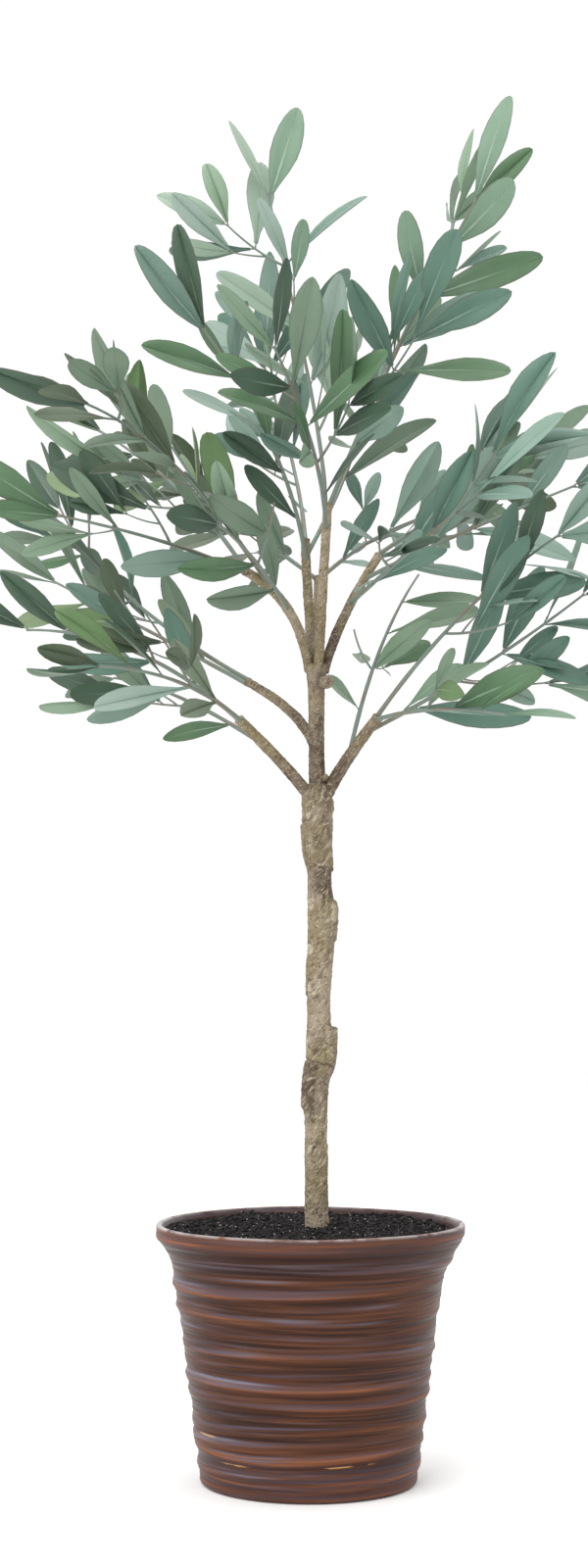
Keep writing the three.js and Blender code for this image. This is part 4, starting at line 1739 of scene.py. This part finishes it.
PALE = (Tint.SAGE, Tint.SEA, Tint.FERN)
DEEP = (Tint.PINE, Tint.FERN, Tint.TEAL)
DULL = (Tint.OLIVE, Tint.PINE, Tint.MOSS)
COOL = (Tint.TEAL, Tint.SEA, Tint.PINE)
FRESH = (Tint.FERN, Tint.MOSS, Tint.SAGE)
BRIGHT = (Tint.FERN, Tint.TEAL, Tint.SAGE)
CLEAR = (Tint.TEAL, Tint.FERN, Tint.SAGE)
MIXED = (Tint.FERN, Tint.SEA, Tint.PINE)
SOFT = (Tint.FERN, Tint.OLIVE, Tint.SEA)
WARM = (Tint.PINE, Tint.MOSS, Tint.OLIVE)

SPRAYS: dict[str, SprayPlan] = {
    name: SprayPlan(*row)
    for name, *row in (
        ("top", "upper_centre", 1, (2, -2, 925), (-35, 10, 1098), PALE, 0.65),
        ("high_right", "upper_centre", 1, (72, -44, 948), (137, -80, 1066), BRIGHT, 0.4),
        ("front_high", "upper_centre", 0.84, (2, -110, 858), (-28, -200, 916), DEEP),
        ("back_high", "upper_cut", 1, (-14, 100, 886), (-40, 180, 990), COOL),
        ("high_left", "upper_cut", 0.8, (-29, -18, 872), (-88, -46, 968), MIXED),
        ("back_right_high", "upper_cut", 0.86, (36, 88, 880), (52, 160, 954), DEEP),
        ("front_left", "upper_left", 0.72, (-104, -104, 838), (-172, -188, 874), DULL),
        ("left_high", "upper_left", 1, (-108, 14, 842), (-182, 66, 906), WARM),
        ("left_inner", "upper_left", 0.5, (-44, -90, 768), (-72, -160, 786), DEEP),
        ("left_out", "upper_left", 1, (-120, -50, 790), (-204, -84, 806), DEEP),
        ("right_out", "upper_right", 0.8, (120, -10, 800), (222, -46, 838), COOL),
        ("right_high", "upper_right", 1, (118, 42, 832), (196, 58, 882), SOFT),
        ("front_right", "upper_right", 0.6, (80, -96, 774), (130, -192, 804), COOL),
        ("right_back", "upper_right", 1, (122, 116, 826), (190, 206, 880), DEEP),
        ("mid_left_out", "mid_left", 1, (-140, 76, 732), (-226, 108, 780), DULL),
        ("mid_left_rise", "mid_left", 1, (-164, 126, 772), (-230, 194, 862), DEEP),
        ("low_left_out", "lower_left", 1, (-146, -46, 700), (-234, -58, 716), COOL),
        ("low_left_front", "lower_left", 1, (-106, -106, 668), (-164, -184, 672), DULL),
        ("low_left_back", "lower_left", 0.6, (-108, 34, 668), (-172, 86, 692), DEEP),
        ("low_right_rise", "lower_right", 1, (126, -62, 728), (200, -124, 784), COOL),
        ("low_right_out", "lower_right", 0.8, (146, 4, 692), (236, 14, 756), CLEAR),
        ("low_right_front", "lower_right", 1, (104, -104, 646), (152, -184, 634), FRESH),
        ("right_inner", "lower_right", 0.5, (62, 56, 712), (100, 130, 790), FRESH),
        ("back_left", "back", 1, (-56, 190, 842), (-116, 262, 896), DULL),
        ("back_right", "back", 1, (64, 196, 834), (130, 268, 872), COOL),
    )
}


@dataclass(frozen=True)
class Fork:
    """Where a twig or leaf leaves its parent: the place, the parent's direction, its side and its face."""

    root: Array
    heading: Array
    reach: Array
    face: Array

    @classmethod
    def on(cls, curve: Bend, t: float, face: Array, turn: float, hand: int = 1) -> Fork:
        """Returns the fork at t, beside the way that the leaves face and turned about the curve."""
        heading = curve.heading(t)
        return cls(curve.point(t), heading, turned(unit(cross(face, heading)), heading, turn) * hand, face)

    def way(self, angle: float) -> Array:
        """Returns the direction at an angle from the parent's."""
        return self.heading * math.cos(angle) + self.reach * math.sin(angle)


@dataclass(frozen=True)
class Leaf:
    """One leaf: its root, its own three directions and its length in millimetres."""

    root: Array
    along: Array
    up: Array
    across: Array
    length: float

    def marks(self) -> Array:
        """Marks the leaf out.

        Returns:
            The places on both its sides that are tested for room.
        """
        share, side = np.array(RULE.leaf_marks * 2).T
        side = side * np.repeat([1, -1], len(RULE.leaf_marks))
        half = self.length * RULE.slimness / 2
        flat = self.root + np.outer(self.length * share, self.along) + np.outer(half * side, self.across)
        return flat - np.outer(self.length * RULE.droop * share * share, self.up)


class Crown:
    """All stems, and the test that keeps each spray in its own space."""

    def __init__(self, trunk: Trunk) -> None:
        """Lays out the limbs' lines and the stems.

        Args:
            trunk: The trunk.
        """
        lines = [(trunk.line(), trunk.thickest())]
        lines += [(plan.curve().line(RULE.limb_steps), max(plan.radii)) for plan in LIMBS.values()]
        self.limbs = self.runs([line for line, _ in lines])
        room = [np.full(len(line) - 1, radius + RULE.limb_margin) for line, radius in lines]
        self.limb_room = np.concatenate(room)
        self.stems = {name: self.stem(name) for name in SPRAYS}
        self.stem_runs = self.runs([stem.line(RULE.stem_steps) for stem in self.stems.values()])
        self.order = {name: index for index, name in enumerate(SPRAYS)}

    @staticmethod
    def runs(lines: list[Array]) -> tuple[Array, Array]:
        """Returns the start and the extent of every straight run of the lines."""
        starts, runs = [line[:-1] for line in lines], [np.diff(line, axis=0) for line in lines]
        return np.concatenate(starts), np.concatenate(runs)

    @staticmethod
    def stem(name: str) -> Bend:
        """Draws a spray's stem. Two that share a bough's tip stand side by side on it.

        Args:
            name: The spray's name.

        Returns:
            The stem.
        """
        plan = SPRAYS[name]
        limb = LIMBS["bough_" + plan.bough].curve()
        foot = limb.point(plan.at)
        others = [other for key, other in SPRAYS.items() if key != name]
        partners = [other for other in others if (other.bough, other.at) == (plan.bough, plan.at)]
        if partners:
            axis = limb.heading(plan.at)
            away = np.array(plan.bend, float) - np.array(partners[0].bend, float)
            foot = foot + unit(away - axis * float(away @ axis)) * RULE.spread
        return Bend.through(foot, plan.bend, plan.tip)

    @staticmethod
    def distances(points: Array, starts: Array, runs: Array) -> Array:
        """Measures how far points are from lines.

        Args:
            points: The points.
            starts: Where each straight run of a line starts.
            runs: How far each goes.

        Returns:
            A row for each point with its distance to every run.
        """
        offset = points[:, None, :] - starts[None]
        share = np.clip((offset * runs).sum(2) / (runs * runs).sum(1), 0, 1)
        return np.linalg.norm(offset - runs * share[..., None], axis=2)

    def has_room(self, name: str, points: Array) -> bool:
        """Tests places for room.

        Args:
            name: The spray's name.
            points: The places.

        Returns:
            Whether all are in the spray's own space and clear of the limbs.
        """
        to_stems = self.distances(points, *self.stem_runs)
        nearest = to_stems.reshape(len(points), len(SPRAYS), RULE.stem_steps).min(2)
        own = nearest[:, self.order[name]].copy()
        nearest[:, self.order[name]] = np.inf
        if (nearest.min(1) < own + RULE.space_margin).any():
            return False
        return bool((self.distances(points, *self.limbs) > self.limb_room).all())


class Spray:
    """One stem with its twigs and leaves, grown by the source's rule, and finer shoots on them."""

    def __init__(self, crown: Crown, name: str) -> None:
        """Grows the spray.

        Args:
            crown: All stems.
            name: The spray's name.
        """
        self.crown, self.name = crown, name
        self.index = crown.order[name]
        self.dice = Dice(SEED + self.index)
        self.stem = crown.stems[name]
        self.twigs: list[Bend] = []
        self.shoots: list[Bend] = []
        self.leaves: list[Leaf] = []
        self.grow()
        self.refine()

    def grow(self) -> None:
        """Dresses the stem, with its leaves facing the nearer side of the crown and mostly up."""
        outward = 1.0 if self.stem.tip[1] > RULE.back_from else -1.0
        side = self.dice.between(*RULE.face_side)
        self.face = unit(np.array([side, outward, self.dice.between(*RULE.face_lift)]))
        self.dress(self.stem, self.face, STEM, self.twigs)

    def refine(self) -> None:
        """Adds the finer shoots, between the pairs of the stem and on the twigs."""
        self.dice = Dice(SEED + FINE_SEED + self.index)
        for t in RULE.shoots_at:
            hand = 1 if self.dice.roll() < 0.5 else -1
            self.sprout(self.stem, t, RULE.shoots_turn, hand)
        for twig in list(self.twigs):
            self.sprout(twig, RULE.twig_shoot_at, RULE.twig_shoot_turn, 1)

    def sprout(self, curve: Bend, t: float, turn: Pair, hand: int) -> None:
        """Grows a finer shoot, and takes it away again where fewer than two leaves had room.

        Args:
            curve: The stem or twig that it leaves.
            t: How far along that it is.
            turn: Limits of its turn about the curve, in degrees.
            hand: 1 or -1, for the side that it leaves on.
        """
        leaves, shoots = len(self.leaves), len(self.shoots)
        self.branch(Fork.on(curve, t, self.face, self.dice.angle(*turn), hand), t, SHOOT, self.shoots)
        if len(self.leaves) < leaves + 2:
            del self.leaves[leaves:]
            del self.shoots[shoots:]

    def dress(self, curve: Bend, face: Array, plan: SproutPlan, twigs: list[Bend] | None = None) -> None:
        """Sets pairs of leaves along a stem or twig and two at its tip.

        Args:
            curve: The stem, twig or shoot.
            face: Which way its leaves face.
            plan: Where its first pair is and how large its leaves are.
            twigs: Where given, one pair in three has a twig in place of a leaf, and it is kept here.
        """
        steps = curve.length() * (1 - plan.first_pair) / RULE.pair_step
        pairs = max(plan.fewest_pairs, math.floor(steps + 0.5))
        for i in range(pairs):
            t = mix(plan.first_pair, 1, i / pairs)
            turn = self.dice.angle(*RULE.pair_turn)
            twig_hand = 1 if (i // RULE.twig_every) % 2 else -1
            for hand in (1, -1):
                fork = Fork.on(curve, t, face, turn, hand)
                if twigs is not None and i % RULE.twig_every == 1 and hand == twig_hand:
                    self.branch(fork, t, TWIG, twigs)
                else:
                    self.add_leaf(fork, RULE.leaf_angle, plan.leaf_share)
        heading, root = curve.heading(1), curve.point(RULE.last_pair)
        side = unit(cross(face, heading))
        for angles in RULE.tip_angles:
            self.add_leaf(Fork(root, heading, side, face), angles, plan.leaf_share)
            side = -side

    def branch(self, fork: Fork, t: float, plan: SproutPlan, kept: list[Bend]) -> None:
        """Grows a twig where there is room.

        Args:
            fork: Where it leaves its parent.
            t: How far along the parent it is.
            plan: Its sizes.
            kept: Takes the new twig.
        """
        for _ in range(RULE.tries):
            angle = self.dice.angle(*plan.angle)
            length = self.dice.between(*plan.length) * mix(*plan.shrink, t)
            way = fork.way(angle)
            tip = fork.root + way * (length * plan.straight) + fork.heading * (length * plan.turn_back)
            twig = Bend.through(fork.root, fork.root + way * (length / 2), tip)
            marks = twig.point(np.array(RULE.twig_marks))
            if way[2] > RULE.lowest and self.crown.has_room(self.name, marks):
                kept.append(twig)
                self.dress(twig, turned(fork.face, way, self.dice.angle(*plan.turn)), plan)
                return

    def add_leaf(self, fork: Fork, angles: Pair, share: float) -> None:
        """Adds a leaf where there is room.

        Args:
            fork: Where it leaves its twig.
            angles: Limits of its angle from the twig, in degrees.
            share: Its size against the rule's.
        """
        for _ in range(RULE.tries):
            angle = self.dice.angle(*angles)
            length = RULE.leaf_length * self.dice.between(*RULE.leaf_share) * share
            roll = self.dice.angle(*RULE.roll)
            along = unit(fork.way(angle))
            up = turned(unit(fork.face - along * float(fork.face @ along)), along, roll)
            leaf = Leaf(fork.root, along, up, cross(along, up), length)
            if along[2] >= RULE.lowest and self.crown.has_room(self.name, leaf.marks()):
                self.leaves.append(leaf)
                return


# Foliage


@dataclass
class LeafShape:
    """A fabric leaf as shares of its length and half width, with an upper side and an underside."""

    rows: tuple[float, ...] = (0.055, 0.17, 0.31, 0.46, 0.6, 0.74, 0.85, 0.935, 0.983, 1.0)
    sides: tuple[float, ...] = (-1.0, -0.48, 0.0, 0.48, 1.0)
    base_width: float = 0.13
    thickness: float = 0.8
    thin_tip: Pair = (6.0, 0.3)
    arch: float = 0.55
    petiole: float = 0.085
    droop: Pair = (-0.04, 0.17)
    sway: Pair = (-0.07, 0.07)
    twist: Pair = (-30.0, 30.0)
    fold: Pair = (0.05, 0.42)
    roll: Pair = (0.0, 20.0)
    wide_roll: Pair = (35.0, 75.0)
    rolled: float = 0.25
    widest: Pair = (0.53, 0.67)
    foot_bulge: Pair = (0.8, 1.1)
    tip_bulge: Pair = (0.42, 0.62)
    breadth: Pair = (0.86, 1.12)

    def pattern(self) -> Pattern:
        """Makes the flat leaf, two shells that meet at the rim.

        Returns:
            Its mesh. The third number is 1 above, -1 below and 0 at the rim.
        """
        last, columns = len(self.rows) - 1, len(self.sides) - 1
        bm = bmesh.new()
        bmesh.ops.create_grid(bm, x_segments=last, y_segments=columns, size=0.5)
        for vert in bm.verts:
            row, column = round((vert.co.x + 0.5) * last), round((vert.co.y + 0.5) * columns)
            inside = 0 < column < columns and 0 < row < last
            vert.co = (self.rows[row], self.sides[column], 1.0 if inside else 0.0)
        copied = bmesh.ops.duplicate(bm, geom=bm.verts[:] + bm.edges[:] + bm.faces[:])["geom"]
        under = [item for item in copied if isinstance(item, bmesh.types.BMFace)]
        for vert in (item for item in copied if isinstance(item, bmesh.types.BMVert)):
            vert.co.z *= -1
        for face in under:
            face.material_index = 1
        bmesh.ops.reverse_faces(bm, faces=under)
        bmesh.ops.remove_doubles(bm, verts=bm.verts[:], dist=1e-5)
        tip = [vert for vert in bm.verts if vert.co.x > 0.999]
        bmesh.ops.pointmerge(bm, verts=tip, merge_co=(1, 0, 0))
        pattern = Pattern.of(mesh_of(bm))
        pattern.layout[:, 1] = pattern.layout[:, 1] / 2 + 0.5
        return pattern

    def widths(self, share: Array, dice: Dice) -> Array:
        """Works out a leaf's outline.

        Args:
            share: Places along it, from 0 to 1.
            dice: Where its differences come from.

        Returns:
            The half width there, as a share of the greatest.
        """
        widest = dice.between(*self.widest)
        full = np.sin(np.pi * np.clip(share, 1e-6, 1) ** (math.log(0.5) / math.log(widest)))
        bulge = np.where(share < widest, dice.between(*self.foot_bulge), dice.between(*self.tip_bulge))
        return np.maximum(np.maximum(full, 0) ** bulge, self.base_width * (share < widest))

    def laid(self, pattern: Pattern, leaf: Leaf, dice: Dice) -> Array:
        """Lays the pattern out as one leaf, each a little different in outline, droop and twist.

        Args:
            pattern: The leaf's mesh.
            leaf: Its place.
            dice: Where its differences come from.

        Returns:
            The vertices' places, in millimetres.
        """
        share, side, lift = pattern.points.T
        width = leaf.length * RULE.slimness / 2 * dice.between(*self.breadth) * self.widths(share, dice)
        droop, sway = dice.between(*self.droop), dice.between(*self.sway)
        twist, fold = dice.angle(*self.twist), dice.between(*self.fold)
        roll = dice.angle(*(self.wide_roll if dice.roll() < self.rolled else self.roll))
        roll = -roll if dice.roll() < 0.5 else roll
        angle, out = roll + twist * share, np.abs(side)
        across = np.outer(np.cos(angle), leaf.across) + np.outer(np.sin(angle), leaf.up)
        up = np.outer(np.cos(angle), leaf.up) - np.outer(np.sin(angle), leaf.across)
        thick = lift * self.thickness / 2 * np.minimum(1, (1 - share) * self.thin_tip[0] + self.thin_tip[1])
        arch = self.arch * (1 - (2 * out - 1) ** 2) * (out < 1)
        rise = fold * width * (out + arch) + thick
        sag = leaf.up * math.cos(roll) - leaf.across * math.sin(roll)
        points = leaf.root + np.outer(leaf.length * share * (1 - droop * droop), leaf.along)
        points += across * (width * side)[:, None] + up * rise[:, None]
        return points + np.outer(leaf.length * share**2, sway * leaf.across - droop * sag)


class Bunch(Enum):
    """The pieces that the leaves are joined in, with the boughs of each."""

    UPPER = ("upper_centre", "upper_cut")
    LEFT = ("upper_left", "mid_left", "lower_left")
    RIGHT = ("upper_right", "lower_right")
    BACK = ("back",)


@dataclass
class Foliage:
    """Stems, twigs and leaves of the whole crown. Radii and sag in millimetres.

    The rods of a stem, a twig and a leaf stalk are given by the faces round them and the rows
    along them. A leaf has the first tint below the first limit, and so on.
    """

    trunk: Trunk
    shape: LeafShape = field(default_factory=LeafShape)
    tint_limits: Pair = (0.55, 0.85)
    back_turned: float = 0.3
    rods: tuple[tuple[int, int], ...] = ((9, 22), (6, 8), (5, 3))
    stalk_radii: Pair = (0.85, 0.5)
    stalk_sag: float = 0.2
    knuckles: int = 6
    knuckle_swell: float = 0.06
    sprays: list[Spray] = field(init=False)

    def __post_init__(self) -> None:
        """Grows every spray."""
        crown = Crown(self.trunk)
        self.sprays = [Spray(crown, name) for name in SPRAYS]
        LOG.info("%d leaves", sum(len(spray.leaves) for spray in self.sprays))

    def make(self) -> None:
        """Makes one piece of stems and one piece of leaves for each bunch of boughs."""
        self.make_stems()
        dull = {"foot_share": 0.55, "rib_share": 0.5, "rib_end": 0.8}
        dull |= {"vein_relief": 0.00005, "roughness": 0.55}
        materials = []
        for tint in Tint:
            top, foot, under = tint.value
            name = "leaf_" + tint.name.lower()
            materials.append(LeafFinish(name + "_upper", top, foot, under).material())
            materials.append(LeafFinish(name + "_under", under, top, foot, top, **dull).material())
        pattern = self.shape.pattern()
        for bunch in Bunch:
            sprays = [spray for spray in self.sprays if SPRAYS[spray.name].bough in bunch.value]
            heap = Heap()
            for spray in sprays:
                self.add_leaves(heap, pattern, spray)
            nodes = ["foliage_" + spray.name for spray in sprays]
            add_piece(heap.mesh(), "leaves_" + bunch.name.lower(), materials, nodes)

    def add_leaves(self, heap: Heap, pattern: Pattern, spray: Spray) -> None:
        """Adds a spray's leaves, each in one of the spray's tints.

        Args:
            heap: Takes the leaves.
            pattern: The leaf's mesh.
            spray: The spray.
        """
        dice = Dice(LOOK_SEED + 1 + spray.index)
        plan = SPRAYS[spray.name]
        numbers = {tint: index * 2 for index, tint in enumerate(Tint)}
        turned_share = plan.turned + (self.back_turned if spray.face[1] > 0 else 0.0)
        for leaf in spray.leaves:
            chance = dice.roll()
            upper = numbers[plan.tints[sum(chance >= limit for limit in self.tint_limits)]]
            slots = [upper + 1, upper] if dice.roll() < turned_share else [upper, upper + 1]
            heap.add(pattern, self.shape.laid(pattern, leaf, dice), slots)

    def make_stems(self) -> None:
        """Makes all stems, twigs, shoots and leaf stalks as one piece."""
        heap = Heap()
        stem_rod, twig_rod, stalk_rod = (Pattern.of(rod(*size)) for size in self.rods)
        for spray in self.sprays:
            self.add_rod(heap, stem_rod, spray.stem, STEM.radii, self.knuckles)
            for twigs, radii in ((spray.twigs, TWIG.radii), (spray.shoots, SHOOT.radii)):
                for twig in twigs:
                    self.add_rod(heap, twig_rod, twig, radii)
            for leaf in spray.leaves:
                reach = leaf.along * leaf.length * self.shape.petiole
                middle = leaf.root + reach / 2 - leaf.up * self.stalk_sag
                stalk = Bend.through(leaf.root, middle, leaf.root + reach)
                self.add_rod(heap, stalk_rod, stalk, self.stalk_radii)
        nodes = ["foliage_" + name for name in SPRAYS]
        add_piece(heap.mesh(), "stems_and_twigs", [StemFinish().material()], nodes)

    def add_rod(self, heap: Heap, pattern: Pattern, curve: Bend, radii: Pair, knuckles: int = 0) -> None:
        """Adds a rod bent along a curve.

        Args:
            heap: Takes the rod.
            pattern: The straight rod.
            curve: Its centre line.
            radii: Its radius at the foot and at the tip.
            knuckles: How many times it swells along its length.
        """
        t = pattern.points[:, 2]
        swell = self.knuckle_swell * np.cos(FULL_TURN * knuckles * t) * (knuckles > 0)
        radius = mix(*radii, t) * (1 + swell)
        heap.add(pattern, bent_rod(pattern.points, curve, t, radius), [0])


# Studio


@dataclass
class Studio:
    """Floor, light and camera. Metres, and pixels of the 600 by 1600 picture.

    Each light is its name, its place, its side in metres and its power in watts.
    """

    distance: float = 2.1
    camera_height: float = 0.455
    camera_side: float = -0.0125
    metres_to_pixel: float = 0.8333 * MM
    picture_height: int = 1600
    horizon_row: float = 965.0
    sensor: float = 36.0
    floor_size: float = 14.0
    world_strength: float = 1.03
    target: Triple = (0.0, 0.0, 0.6)
    lights: tuple[tuple[str, Triple, float, float], ...] = (
        ("key", (-1.5, -2.0, 2.5), 2.8, 74.0),
        ("fill", (2.0, -1.9, 1.3), 1.8, 1.5),
        ("top", (0.2, 0.3, 2.9), 1.6, 32.0),
    )

    def make(self) -> None:
        """Makes the floor, the camera, the lights and the even white surroundings."""
        self.make_floor()
        self.make_camera()
        world = bpy.data.worlds.new("studio")
        world.use_nodes = True
        background = world.node_tree.nodes["Background"].inputs
        background["Color"].default_value = colour("ffffff")
        background["Strength"].default_value = self.world_strength
        bpy.context.scene.world = world
        bpy.context.scene.view_settings.view_transform = "Standard"
        for light in self.lights:
            self.make_light(*light)

    def make_floor(self) -> None:
        """Makes the pale floor, which isn't part of the tree."""
        bm = bmesh.new()
        bmesh.ops.create_grid(bm, x_segments=8, y_segments=8, size=self.floor_size / 2)
        mesh = mesh_of(bm, "floor")
        mesh.materials.append(FloorFinish().material())
        floor = bpy.data.objects.new("floor", mesh)
        bpy.context.scene.collection.objects.link(floor)

    def make_camera(self) -> None:
        """Makes the camera, level and shifted up to the photograph's framing."""
        data = bpy.data.cameras.new("camera")
        data.sensor_width = self.sensor
        data.lens = self.sensor * self.distance / (self.metres_to_pixel * self.picture_height)
        data.shift_y = (self.horizon_row - self.picture_height / 2) / self.picture_height
        camera = bpy.data.objects.new("camera", data)
        camera.location = (self.camera_side, -self.distance, self.camera_height)
        camera.rotation_euler = (math.radians(90), 0, 0)
        bpy.context.scene.collection.objects.link(camera)
        bpy.context.scene.camera = camera

    def make_light(self, name: str, place: Triple, size: float, power: float) -> None:
        """Makes a soft square light that points at the crown.

        Args:
            name: The light's name.
            place: Where it hangs.
            size: Its side.
            power: Its power in watts.
        """
        data = bpy.data.lights.new(name, "AREA")
        data.size, data.energy = size, power
        light = bpy.data.objects.new(name, data)
        light.location = place
        light.rotation_euler = (Vector(self.target) - Vector(place)).to_track_quat("-Z", "Y").to_euler()
        bpy.context.scene.collection.objects.link(light)


def main() -> None:
    logging.basicConfig(level=logging.INFO, format="%(message)s")
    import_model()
    Studio().make()
    pot = Pot()
    pot.make()
    Soil(pot).make()
    bark = BarkFinish().material()
    trunk = Trunk()
    trunk.make(bark)
    for name, plan in LIMBS.items():
        Limb(name, plan).make(bark)
    Foliage(trunk).make()


if __name__ == "__main__":
    main()
